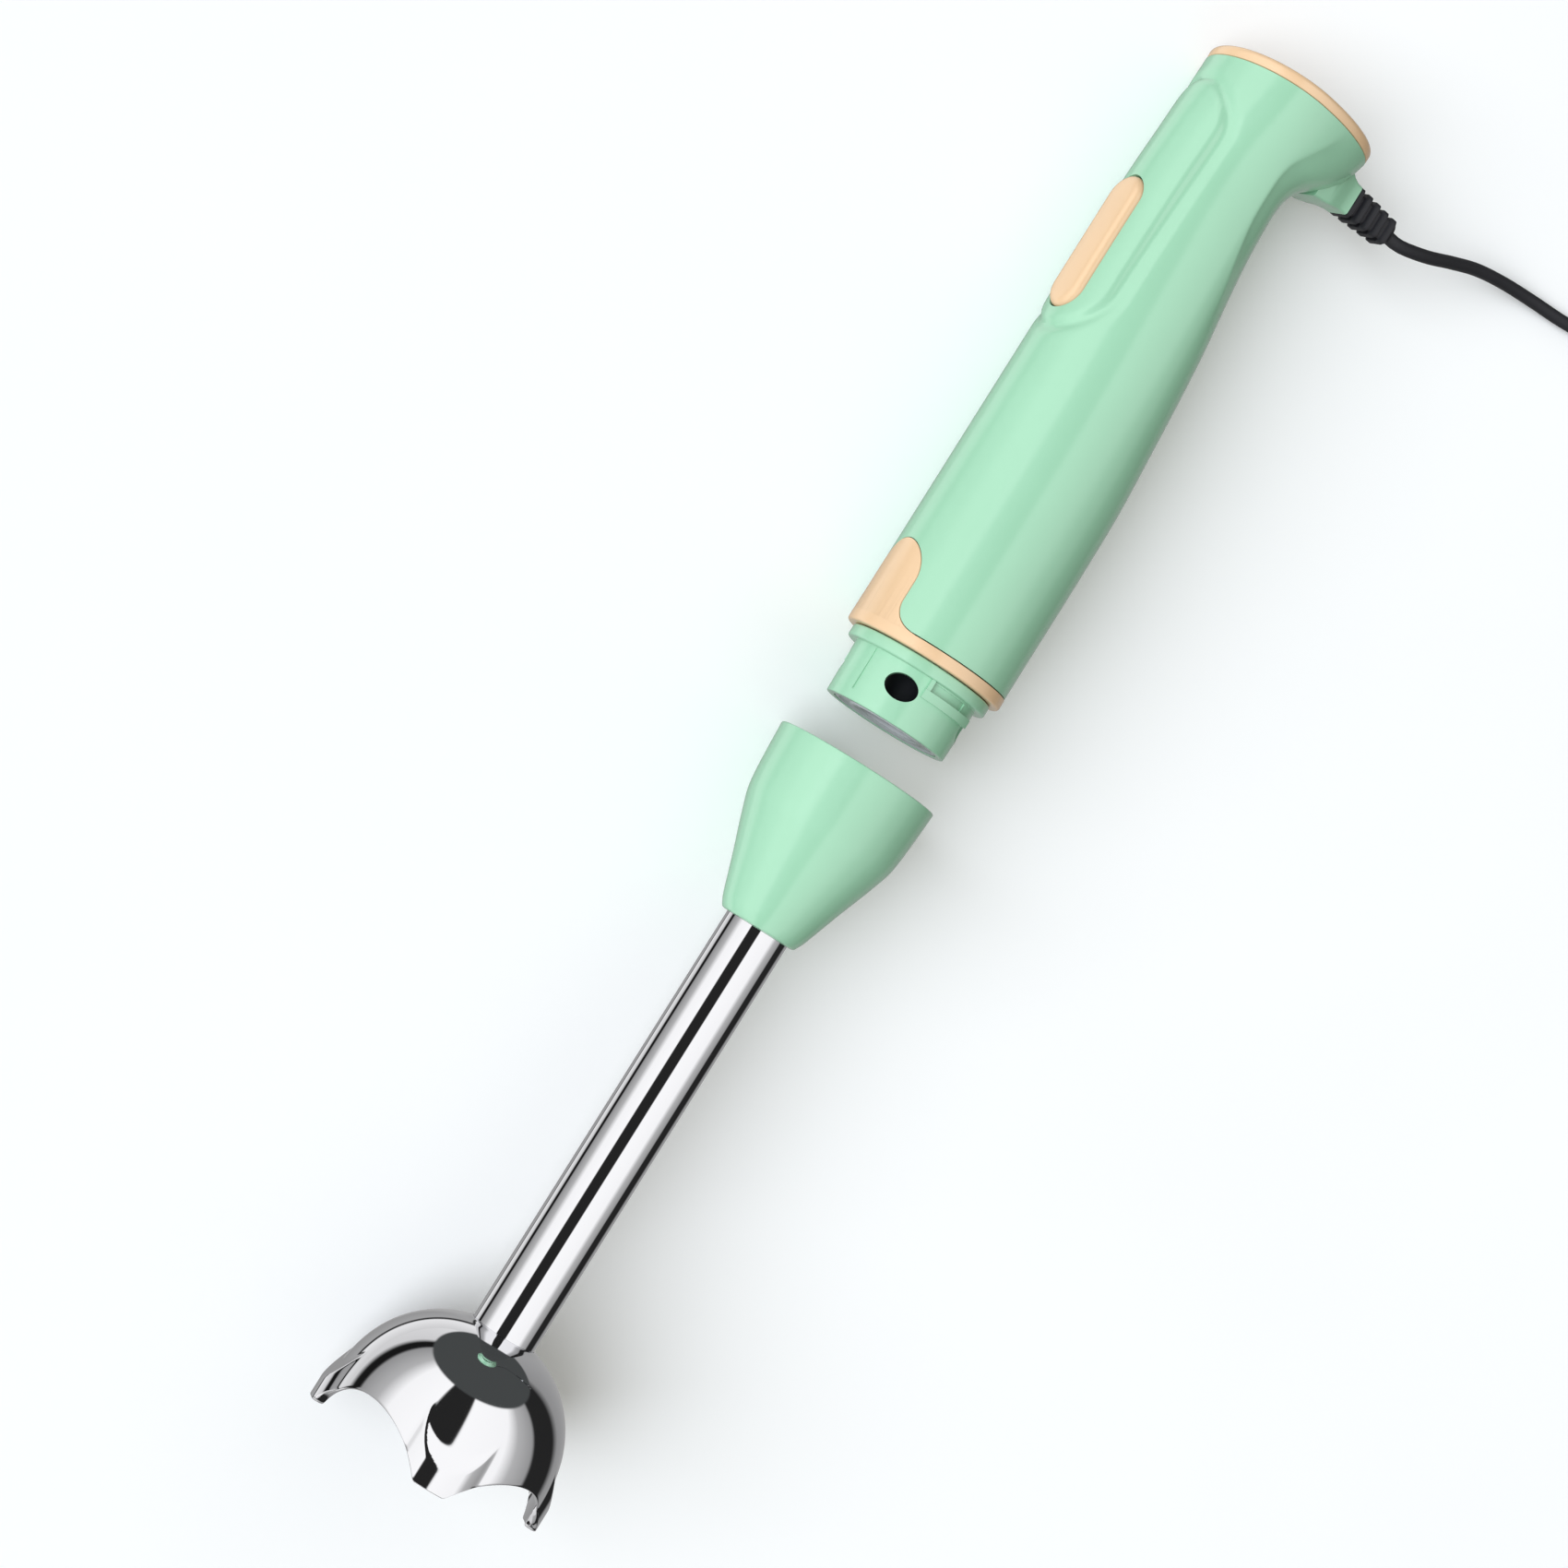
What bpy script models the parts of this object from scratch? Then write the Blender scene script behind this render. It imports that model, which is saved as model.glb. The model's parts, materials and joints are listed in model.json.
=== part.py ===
"""Immersion blender, taken apart at its twist lock and laid on a table.

The tool is modelled along its own axis: +Z runs from the blade to the cord end, +X is the side with
the button, and Z = 0 is the lower face of the handle's trim ring. Everything but the free cord hangs
on the empty "tool", which lays that axis down along world +X with the button facing world +Y.
"""

import bmesh
import bpy
from math import atan2, cos, pi, radians, sin
from mathutils import Matrix, Vector

MM = 0.001
GAP = 0.3 * MM  # between pieces that touch on the real tool

# Facets around a turned piece.
LARGE, MEDIUM, SMALL = 32, 20, 10

# Handle.
RING_RADIUS = 24.7 * MM
RING_BORE = 20.0 * MM
RING_HEIGHT = 3.5 * MM
HANDLE_TOP = 188.0 * MM
CAP_HEIGHT = 3.5 * MM
WALL = 2.2 * MM
# (height, front, back, side): half widths of the housing, each quarter a quarter ellipse.
HANDLE_SECTIONS = (
    (3.8 * MM, 24.6 * MM, 24.6 * MM, 24.6 * MM),
    (60 * MM, 24.6 * MM, 24.4 * MM, 24.6 * MM),
    (85 * MM, 24.7 * MM, 22.6 * MM, 24.2 * MM),
    (110 * MM, 24.9 * MM, 20.2 * MM, 23.4 * MM),
    (132 * MM, 25.0 * MM, 17.4 * MM, 22.4 * MM),
    (150 * MM, 24.8 * MM, 15.4 * MM, 21.6 * MM),
    (163 * MM, 24.2 * MM, 15.6 * MM, 21.4 * MM),
    (170 * MM, 23.8 * MM, 19.4 * MM, 21.8 * MM),
    (175 * MM, 23.4 * MM, 25.6 * MM, 22.5 * MM),
    (181 * MM, 23.0 * MM, 30.6 * MM, 23.3 * MM),
    (HANDLE_TOP, 22.6 * MM, 33.0 * MM, 24.0 * MM),
)
TONGUE_TOP = 27 * MM
TONGUE_HALF_WIDTH = 10.5 * MM
TONGUE_FOOT = 7 * MM  # radius of the fillet from the tongue to the ring
TONGUE_THICKNESS = 1.3 * MM

# Button, seen from the front.
BUTTON_LOW, BUTTON_HIGH = 103 * MM, 146 * MM
BUTTON_HALF_WIDTH = 7 * MM
BUTTON_FACE = 26.4 * MM  # how far the button's face stands from the axis
FLANGE_FACE = 19.8 * MM
FLANGE_THICKNESS = 1.4 * MM
PUSHER_LENGTH = 2.0 * MM
LEVER_PIVOT = (13.6 * MM, 0, 104 * MM)
LEVER_ARM = 12 * MM  # from the pivot to where the button pushes

# Lock between handle and blending shaft: two rails on the spigot, two lugs in the collar.
SPIGOT_LENGTH = 20.0 * MM
SPIGOT_END_RADIUS, SPIGOT_RADIUS = 19.0 * MM, 19.4 * MM
SPIGOT_BORE = 16.6 * MM
BAND_RADIUS, BAND_HEIGHT = 22.2 * MM, 3.8 * MM
RAIL_RADIUS = 20.9 * MM
RAIL_LOW, RAIL_HIGH = -9.6 * MM, -7.0 * MM
LOCK_PHASE = 55.0  # degrees from the front to the first pocket
RAIL_START, RAIL_END = 17.0, 73.0  # degrees past a pocket
STOP_WIDTH = 4.0  # degrees of the bar that stops the twist
LUG_HALF_ANGLE = 8.0
LUG_HEIGHT = 2.4 * MM
POCKET_WIDTH, POCKET_HEIGHT, POCKET_MIDDLE = 10.0 * MM, 7.5 * MM, -10.1 * MM
DOCK_TRAVEL = 33.7 * MM  # from apart, as laid out here, to seated

# Collar, tube and bell of the blending shaft.
COLLAR_MOUTH = -34.0 * MM
COLLAR_LENGTH = 52.7 * MM
COLLAR_OUTLINE = (  # (depth below the mouth, radius)
    (0, 24.8 * MM),
    (6 * MM, 24.4 * MM),
    (14 * MM, 24.0 * MM),
    (19 * MM, 23.2 * MM),
    (24 * MM, 22.2 * MM),
    (29.5 * MM, 20.3 * MM),
    (37 * MM, 17.5 * MM),
    (45 * MM, 14.8 * MM),
    (50 * MM, 13.1 * MM),
    (COLLAR_LENGTH, 11.6 * MM),
)
COLLAR_MOUTH_BORE, COLLAR_BORE = 22.6 * MM, 21.4 * MM
COLLAR_FLOOR = -56.0 * MM
TUBE_RADIUS, TUBE_WALL = 9.75 * MM, 0.8 * MM
BELL_TIP = -260.0 * MM
BELL_HEIGHT = 42.0 * MM
BELL_RADIUS, BELL_WALL = 34.0 * MM, 1.2 * MM
BELL_SKIRT = 8.0 * MM  # height of the straight part above the tips
BELL_ROUNDNESS = 2.15  # exponent of the dome's superellipse
FOOT_SLOPE = 2.3  # rise of a foot's flat top towards the dome
ARCH_RISE, ARCH_RADIUS = 12.0 * MM, 24.0 * MM
LOBE_PHASE = 68.0  # degrees from the front to the first foot, with the lock open
FOOT_RADIUS, FOOT_REACH, FOOT_HEIGHT = 14.0 * MM, 36.5 * MM, 9.5 * MM
BLADE_PLANE = -243.0 * MM
BLADE_REACH = 24.0 * MM

# Motor and drive.
CASE_RADIUS, CASE_LOW, CASE_HIGH = 20.5 * MM, 14 * MM, 72 * MM
SHAFT_RADIUS = 2.5 * MM
DRIVE_RADIUS = 3.0 * MM
HEX_RADIUS, HEX_PLAY = 5.2 * MM, 0.5 * MM

# Cord, in the world frame.
CORD_RADIUS = 2.0 * MM
BOSS_MIDDLE = 179.8 * MM
BOSS_FACE = -36.9 * MM
RELIEF_LENGTH = 18.0 * MM
COIL_MIDDLE = (0.220, -0.220)
COIL_RADIUS = 23.5 * MM  # at the middle of its turns
COIL_HALF_WIDTH, COIL_HEIGHT = 8.3 * MM, 8.5 * MM
OUTER_TURN = COIL_RADIUS + 6.0 * MM  # where the cord comes in and goes out
TIE_WIDTH, TIE_THICKNESS = 9 * MM, 1.2 * MM
# (distance from the end of the coil, half width, half height): tail and body of the plug.
PLUG_SECTIONS = (
    (0, 2.4 * MM, 2.4 * MM),
    (12 * MM, 3.2 * MM, 3.2 * MM),
    (15 * MM, 6.5 * MM, 5.2 * MM),
    (24 * MM, 10.5 * MM, 6.5 * MM),
    (32 * MM, 12.8 * MM, 6.8 * MM),
    (46 * MM, 12.8 * MM, 6.8 * MM),
    (47 * MM, 12.0 * MM, 6.0 * MM),
)
PIN_RADIUS, PIN_LENGTH, PIN_SPACING = 2.0 * MM, 19 * MM, 18.6 * MM

GREEN = ("mint_plastic", (0.42, 0.74, 0.56, 1), 0.35, 0)
PEACH = ("peach_plastic", (0.95, 0.68, 0.45, 1), 0.35, 0)
GREY = ("grey_plastic", (0.45, 0.46, 0.47, 1), 0.5, 0)
BLACK = ("black_rubber", (0.02, 0.02, 0.02, 1), 0.6, 0)
WHITE = ("white_plastic", (0.8, 0.8, 0.78, 1), 0.5, 0)
CHROME = ("chrome", (0.8, 0.8, 0.82, 1), 0.08, 1)
STEEL = ("brushed_steel", (0.6, 0.6, 0.6, 1), 0.3, 1)
IRON = ("magnet_iron", (0.2, 0.2, 0.2, 1), 0.6, 0.5)
COPPER = ("copper_wire", (0.72, 0.35, 0.16, 1), 0.35, 1)
BRONZE = ("bronze", (0.6, 0.42, 0.2, 1), 0.4, 1)
BOARD = ("circuit_board", (0.03, 0.22, 0.08, 1), 0.5, 0)
CARBON = ("carbon", (0.04, 0.04, 0.04, 1), 0.7, 0)


# Scene and helpers.


def clear_scene():
    for obj in list(bpy.data.objects):
        bpy.data.objects.remove(obj, do_unlink=True)


def collection(name):
    made = bpy.data.collections.new(name)
    bpy.context.scene.collection.children.link(made)
    return made


def material(look):
    name, colour, roughness, metallic = look
    found = bpy.data.materials.get(name)
    if found:
        return found
    found = bpy.data.materials.new(name)
    found.use_nodes = True
    shader = found.node_tree.nodes["Principled BSDF"]
    shader.inputs["Base Color"].default_value = colour
    shader.inputs["Roughness"].default_value = roughness
    shader.inputs["Metallic"].default_value = metallic
    return found


clear_scene()
PARTS = collection("immersion_blender")
CUTTERS = collection("cutters")
TOOL = bpy.data.objects.new("tool", None)
PARTS.objects.link(TOOL)


def add(name, data, look, place=(0, 0, 0), parent=TOOL):
    """A named piece of the tool."""
    obj = bpy.data.objects.new(name, data)
    obj.data.materials.append(material(look))
    obj.location = place
    obj.parent = parent
    PARTS.objects.link(obj)
    return obj


def helper(name, data, place=(0, 0, 0)):
    """A cutter or a shape that is joined to a piece, left out of renders."""
    obj = bpy.data.objects.new(name, data)
    obj.location = place
    obj.parent = TOOL
    obj.hide_render = True
    obj.display_type = "WIRE"
    CUTTERS.objects.link(obj)
    return obj


def boolean(obj, other, operation):
    step = obj.modifiers.new(other.name, "BOOLEAN")
    step.operation = operation
    step.object = other


def cut(obj, *others):
    for other in others:
        boolean(obj, other, "DIFFERENCE")


def join(obj, *others):
    for other in others:
        boolean(obj, other, "UNION")


def mesh_from(build):
    """A smooth-shaded mesh from a function that fills a bmesh."""
    bm = bmesh.new()
    build(bm)
    bmesh.ops.recalc_face_normals(bm, faces=bm.faces)
    mesh = bpy.data.meshes.new("shape")
    bm.to_mesh(mesh)
    bm.free()
    mesh.shade_smooth()
    mesh.set_sharp_from_angle(angle=radians(35))
    return mesh


def box(size, middle=(0, 0, 0)):
    def build(bm):
        bmesh.ops.create_cube(bm, size=1, matrix=Matrix.Translation(middle) @ Matrix.Diagonal((*size, 1)))

    return mesh_from(build)


def cylinder(radius, start, end, segments=MEDIUM):
    """A cylinder between two points."""
    start, end = Vector(start), Vector(end)
    turn = (end - start).to_track_quat("Z", "Y").to_matrix().to_4x4()

    def build(bm):
        bmesh.ops.create_cone(
            bm,
            cap_ends=True,
            segments=segments,
            radius1=radius,
            radius2=radius,
            depth=(end - start).length,
            matrix=Matrix.Translation((start + end) / 2) @ turn,
        )

    return mesh_from(build)


def turned(outline, segments=LARGE):
    """The mesh and Screw settings of a shape turned about Z, from (radius, height) points."""
    area = sum(a[0] * b[1] - b[0] * a[1] for a, b in zip(outline, outline[1:] + outline[:1]))
    points = outline if area < 0 else outline[::-1]
    solid = min(r for r, _ in points) <= 0
    if solid:  # starts and ends on the axis
        top = max(range(len(points)), key=lambda i: (points[i][0] <= 0, points[i][1]))
        points = points[top:] + points[:top]
    mesh = bpy.data.meshes.new("turned")
    edges = [(i, i + 1) for i in range(len(points) - 1)]
    if not solid:
        edges.append((len(points) - 1, 0))
    mesh.from_pydata([(r, 0, z) for r, z in points], edges, [])
    return mesh, segments


def screw(obj, segments):
    step = obj.modifiers.new("Screw", "SCREW")
    step.steps = segments
    step.render_steps = segments
    step.use_merge_vertices = True
    step.merge_threshold = 0.00001
    step.use_smooth_shade = True
    return obj


def add_turned(name, outline, look, segments=LARGE):
    mesh, steps = turned(outline, segments)
    return screw(add(name, mesh, look), steps)


def turned_helper(name, outline, segments=LARGE):
    mesh, steps = turned(outline, segments)
    return screw(helper(name, mesh), steps)


def ring_outline(inner, outer, low, high):
    return [(inner, low), (outer, low), (outer, high), (inner, high)]


def loft(rings, closed=False):
    """A skin over rings of equal length; its ends are capped, or joined to each other if closed."""

    def build(bm):
        rows = [[bm.verts.new(p) for p in ring] for ring in rings]
        pairs = list(zip(rows, rows[1:]))
        if closed:
            pairs.append((rows[-1], rows[0]))
        for low, high in pairs:
            for i in range(len(low)):
                j = (i + 1) % len(low)
                bm.faces.new((low[i], low[j], high[j], high[i]))
        if not closed:
            bm.faces.new(rows[0])
            bm.faces.new(rows[-1])

    return mesh_from(build)


def prism(outline, low, high, axis="Z"):
    """A flat outline of (u, v) points extruded along an axis: Z takes (x, y), and X takes (y, z)."""

    def place(u, v, w):
        return (u, v, w) if axis == "Z" else (w, u, v)

    return loft([[place(u, v, w) for u, v in outline] for w in (low, high)])


def arc(middle, radius, start, end, steps):
    """Points on a circle, from one angle to another in degrees."""
    angles = [radians(start + (end - start) * i / steps) for i in range(steps + 1)]
    return [(middle[0] + radius * cos(a), middle[1] + radius * sin(a)) for a in angles]


def rounded_square(half, corner):
    """A square outline with round corners, as (u, v)."""
    flat = half - corner
    outline = []
    for u, v, start in ((flat, flat, 0), (-flat, flat, 90), (-flat, -flat, 180), (flat, -flat, 270)):
        outline += arc((u, v), corner, start, start + 90, 3)
    return outline


def pill(low, high, half_width, grow=0):
    """A long outline with round ends, in (y, z)."""
    radius = half_width + grow
    top, bottom = high - half_width, low + half_width
    return arc((0, top), radius, 0, 180, 10) + arc((0, bottom), radius, 180, 360, 10)


def cog(teeth, root, tip, share, steps=1):
    """A ring of equal teeth; share is the part of the pitch that a tooth takes."""
    outline = []
    for i in range(teeth):
        middle, half = 360 * i / teeth, 180 * share / teeth
        gap = 360 / teeth - half
        outline += arc((0, 0), tip, middle - half, middle + half, steps)
        outline += arc((0, 0), root, middle + half + 0.5, middle + gap - 0.5, 1)
    return outline


def polygon(sides, radius, phase=0):
    return [
        (radius * cos(radians(phase + 360 * i / sides)), radius * sin(radians(phase + 360 * i / sides)))
        for i in range(sides)
    ]


def bored(name, outline, low, high, bore, look, segments=SMALL):
    """An extruded outline with a round hole along its axis."""
    obj = add(name, prism(outline, low, high), look)
    cut(obj, helper(name + "_bore", cylinder(bore, (0, 0, low - MM), (0, 0, high + MM), segments)))
    return obj


def bar_round(radius_low, radius_high, low, high, start, end, steps=6):
    """A block bent around the axis between two angles in degrees."""
    outline = arc((0, 0), radius_high, start, end, steps) + arc((0, 0), radius_low, end, start, steps)
    return prism(outline, low, high)


def tube_curve(name, points, radius, look, resolution=2, parent=TOOL):
    """A wire or cord along points."""
    curve = bpy.data.curves.new(name, "CURVE")
    curve.dimensions = "3D"
    spline = curve.splines.new("POLY")
    spline.points.add(len(points) - 1)
    for knot, point in zip(spline.points, points):
        knot.co = (*point, 1)
    curve.bevel_depth = radius
    curve.bevel_resolution = resolution
    curve.use_fill_caps = True
    return add(name, curve, look, parent=parent)


def smooth_route(points, step):
    """Points every step metres along a Catmull-Rom curve through the route."""
    knots = [Vector(p) for p in points]
    ends = [2 * knots[0] - knots[1]] + knots + [2 * knots[-1] - knots[-2]]
    fine = []
    for a, b, c, d in zip(ends, ends[1:], ends[2:], ends[3:]):
        for i in range(40):
            t = i / 40
            fine.append(
                b
                + 0.5 * (c - a) * t
                + 0.5 * (2 * a - 5 * b + 4 * c - d) * t**2
                + 0.5 * (3 * b - a - 3 * c + d) * t**3
            )
    fine.append(knots[-1])
    lengths = [0]
    for a, b in zip(fine, fine[1:]):
        lengths.append(lengths[-1] + (b - a).length)
    count = max(2, round(lengths[-1] / step))
    route, at = [], 0
    for i in range(count):
        while lengths[at + 1] < lengths[-1] * i / count:
            at += 1
        route.append(fine[at])
    return route + [fine[-1]]


# Handle.


def handle_ring(section, inset=0, segments=LARGE):
    """One ring of the housing's outside, or of its inside if inset."""
    height, front, back, side = section
    ring = []
    for i in range(segments):
        a = 2 * pi * i / segments
        depth = front if cos(a) > 0 else back
        ring.append(((depth - inset) * cos(a), (side - inset) * sin(a), height))
    return ring


def tongue_outline(grow):
    """The tongue that rises from the trim ring, in (y, z), widening into the ring by fillets."""
    half, foot = TONGUE_HALF_WIDTH + grow, TONGUE_FOOT - grow
    top = TONGUE_TOP - TONGUE_HALF_WIDTH
    low = RING_HEIGHT + grow
    right = arc((half + foot, low + foot), foot, 270, 180, 5)
    left = arc((-half - foot, low + foot), foot, 0, -90, 5)
    return [(half + foot, 0)] + right + arc((0, top), half, 0, 180, 12) + left + [(-half - foot, 0)]


def housing():
    outer = [handle_ring(section) for section in HANDLE_SECTIONS]
    inner = [handle_ring(section, WALL) for section in HANDLE_SECTIONS]
    obj = add("body_housing", loft(outer + inner[::-1], closed=True), GREEN)
    boss_low, boss_high = BOSS_MIDDLE - 4.5 * MM, BOSS_MIDDLE + 4.5 * MM
    boss_depth = -26 * MM - BOSS_FACE
    boss = box((boss_depth, 9.6 * MM, boss_high - boss_low), (BOSS_FACE + boss_depth / 2, 0, BOSS_MIDDLE))
    join(obj, helper("cord_boss", boss))
    button_hole = prism(pill(BUTTON_LOW, BUTTON_HIGH, BUTTON_HALF_WIDTH, GAP), 15 * MM, 30 * MM, "X")
    cord_hole = cylinder(3.8 * MM, (-40 * MM, 0, BOSS_MIDDLE), (-20 * MM, 0, BOSS_MIDDLE), SMALL)
    cut(obj, helper("button_hole", button_hole), helper("cord_hole", cord_hole))
    recess_floor = RING_RADIUS - TONGUE_THICKNESS - GAP
    recess = turned_helper("tongue_recess", ring_outline(recess_floor, 30 * MM, 1 * MM, 30 * MM))
    shape = helper("tongue_recess_shape", prism(tongue_outline(GAP), 10 * MM, 35 * MM, "X"))
    boolean(recess, shape, "INTERSECT")
    cut(obj, recess)


def trim_ring():
    obj = add_turned("lower_trim_ring", ring_outline(RING_BORE, RING_RADIUS, 0, RING_HEIGHT), PEACH)
    inner = RING_RADIUS - TONGUE_THICKNESS
    sleeve = turned_helper("tongue_sleeve", ring_outline(inner, RING_RADIUS, 1 * MM, 29 * MM))
    shape = helper("tongue_shape", prism(tongue_outline(0), 10 * MM, 35 * MM, "X"))
    boolean(sleeve, shape, "INTERSECT")
    join(obj, sleeve)


def top_cap():
    _, front, back, side = HANDLE_SECTIONS[-1]
    low = HANDLE_TOP + GAP

    def ring(height, inset):
        return handle_ring((height, front, back, side), inset)

    lip = WALL + 4 * GAP  # the housing narrows below its rim
    rings = [
        ring(low - 2.5 * MM, lip),
        ring(low, lip),
        ring(low, 0.2 * MM),
        ring(low + CAP_HEIGHT - 1.0 * MM, 0.2 * MM),
        ring(low + CAP_HEIGHT, 1.4 * MM),
    ]
    add("top_cap", loft(rings), PEACH)


def spigot():
    """The lower end of the handle, which the collar twists onto."""
    obj = add_turned(
        "drive_spigot",
        [
            (SPIGOT_BORE, -SPIGOT_LENGTH),
            (SPIGOT_END_RADIUS, -SPIGOT_LENGTH),
            (SPIGOT_RADIUS, -BAND_HEIGHT),
            (BAND_RADIUS, -BAND_HEIGHT),
            (BAND_RADIUS, -GAP),
            (RING_BORE - GAP, -GAP),
            (RING_BORE - GAP, RING_HEIGHT + GAP),
            (22.1 * MM, RING_HEIGHT + GAP),
            (22.1 * MM, 6.2 * MM),
            (17 * MM, 6.2 * MM),
            (17 * MM, 0),
            (4 * MM, 0),
            (4 * MM, -3.5 * MM),
            (SPIGOT_BORE, -3.5 * MM),
        ],
        GREEN,
    )
    for i, angle in enumerate((LOCK_PHASE, LOCK_PHASE + 180)):
        start, end = angle + RAIL_START, angle + RAIL_END
        rail = bar_round(SPIGOT_END_RADIUS - MM, RAIL_RADIUS, RAIL_LOW, RAIL_HIGH, start, end)
        stop_low, stop_high = RAIL_LOW + 0.4 * MM, -BAND_HEIGHT + 0.5 * MM
        radii = (SPIGOT_BORE + MM, RAIL_RADIUS - 0.2 * MM)
        stop = bar_round(*radii, stop_low, stop_high, start + 0.5, start + STOP_WIDTH, 2)
        join(obj, helper(f"rail_{i + 1}", rail), helper(f"rail_stop_{i + 1}", stop))
    for i in range(4):
        pocket_angle = LOCK_PHASE + 90 * i
        half_width, half_height = POCKET_WIDTH / 2, POCKET_HEIGHT / 2
        circle = arc((0, 0), 1, 0, 330, 11)
        oval = [(u * half_width, POCKET_MIDDLE + v * half_height) for u, v in circle]
        pocket = helper(f"pocket_{i + 1}", prism(oval, 12 * MM, 30 * MM, "X"))
        pocket.rotation_euler.z = radians(pocket_angle)
        cut(obj, pocket)
    for i, angle in enumerate((LOCK_PHASE, LOCK_PHASE + 180)):
        place = (12.6 * MM * cos(radians(angle)), 12.6 * MM * sin(radians(angle)))
        hole = cylinder(1.8 * MM, (*place, -6 * MM), (*place, 2 * MM), SMALL)
        cut(obj, helper(f"screw_hole_{i + 1}", hole))
        screw_outline = [
            (0, -5.6 * MM),
            (1.0 * MM, -6.2 * MM),
            (2.7 * MM, -6.0 * MM),
            (2.9 * MM, -3.8 * MM),
            (1.5 * MM, -3.8 * MM),
            (1.4 * MM, 9 * MM),
            (0, 10 * MM),
        ]
        add_turned(f"spigot_screw_{i + 1}", screw_outline, STEEL, SMALL).location = (*place, 0)
    plate_low = -SPIGOT_LENGTH + 0.2 * MM
    plate = ring_outline(8.5 * MM, SPIGOT_BORE - GAP, plate_low, plate_low + 1.5 * MM)
    add_turned("spigot_end_plate", plate, GREY)


# Motor.


def motor():
    case = ring_outline(CASE_RADIUS - 1.2 * MM, CASE_RADIUS, CASE_LOW, CASE_HIGH)
    add_turned("motor_case", case, STEEL, MEDIUM + 4)
    for name, start in (("field_magnet_front", -60), ("field_magnet_back", 120)):
        shape = bar_round(15.4 * MM, 18.9 * MM, 22 * MM, 60 * MM, start, start + 120, 8)
        add(name, shape, IRON)
    ends = (
        ("lower", CASE_LOW - GAP - 2.5 * MM, 2.5 * MM, -1),
        ("upper", CASE_HIGH + GAP, 2.5 * MM, 1),
    )
    for name, low, thick, side in ends:
        plate = ring_outline(5.3 * MM, CASE_RADIUS, low, low + thick)
        bracket = add_turned(f"{name}_end_bracket", plate, STEEL, MEDIUM + 4)
        for i in range(4):
            slot = bar_round(9 * MM, 15 * MM, low - MM, low + thick + MM, 90 * i + 15, 90 * i + 60, 3)
            cut(bracket, helper(f"{name}_vent_{i + 1}", slot))
        middle = low + thick / 2 + side * 0.4 * MM
        bush = ring_outline(SHAFT_RADIUS + 0.3 * MM, 5 * MM, middle - 2.6 * MM, middle + 2.6 * MM)
        add_turned(f"{name}_motor_bush", bush, BRONZE, MEDIUM)
    for name, low in (("lower", 19 * MM), ("upper", 56 * MM)):
        band = ring_outline(CASE_RADIUS + GAP, 21.9 * MM, low, low + 5 * MM)
        add_turned(f"{name}_motor_mount", band, BLACK, MEDIUM + 4)
    card = ring_outline(8.4 * MM, 18.9 * MM, 61 * MM, 62.2 * MM)
    add_turned("brush_card", card, BOARD, MEDIUM)
    for name, side in (("brush_front", 1), ("brush_back", -1)):
        add(name, box((6 * MM, 5 * MM, 4.5 * MM), (side * 10 * MM, 0, 65 * MM)), CARBON)


def rotor():
    add("motor_shaft", cylinder(SHAFT_RADIUS, (0, 0, -6 * MM), (0, 0, 80 * MM), SMALL), STEEL)
    bore = SHAFT_RADIUS + GAP
    bored("armature_core", cog(7, 8.5 * MM, 14.8 * MM, 0.82, 3), 27 * MM, 54 * MM, bore, IRON)
    for name, low in (("armature_coil_lower", 21 * MM), ("armature_coil_upper", 54.3 * MM)):
        rim = [
            (bore, low),
            (11.5 * MM, low),
            (13.2 * MM, low + 1.7 * MM),
            (13.2 * MM, low + 4 * MM),
            (11.5 * MM, low + 5.6 * MM),
            (bore, low + 5.6 * MM),
        ]
        add_turned(name, rim, COPPER, MEDIUM)
    bored("commutator", cog(12, 5.9 * MM, 6.5 * MM, 0.85), 62 * MM, 69 * MM, bore, COPPER)
    bored("cooling_fan", cog(9, 5.0 * MM, 10.6 * MM, 0.25), 3.6 * MM, 8.9 * MM, bore, WHITE)
    socket = add_turned(
        "drive_socket",
        [
            (bore, -5 * MM),
            (bore, -2 * MM),
            (3.7 * MM, -2 * MM),
            (3.7 * MM, -4.2 * MM),
            (7.6 * MM, -4.2 * MM),
            (7.9 * MM, -16.6 * MM),
            (7.4 * MM, -17.4 * MM),
            (2.0 * MM, -17.4 * MM),
            (2.0 * MM, -6.6 * MM),
            (bore, -6.6 * MM),
        ],
        BLACK,
        MEDIUM,
    )
    socket_hex = prism(polygon(6, HEX_RADIUS + HEX_PLAY), -19 * MM, -7.6 * MM)
    cut(socket, helper("socket_hex", socket_hex))


# Switch and electronics.


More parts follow.
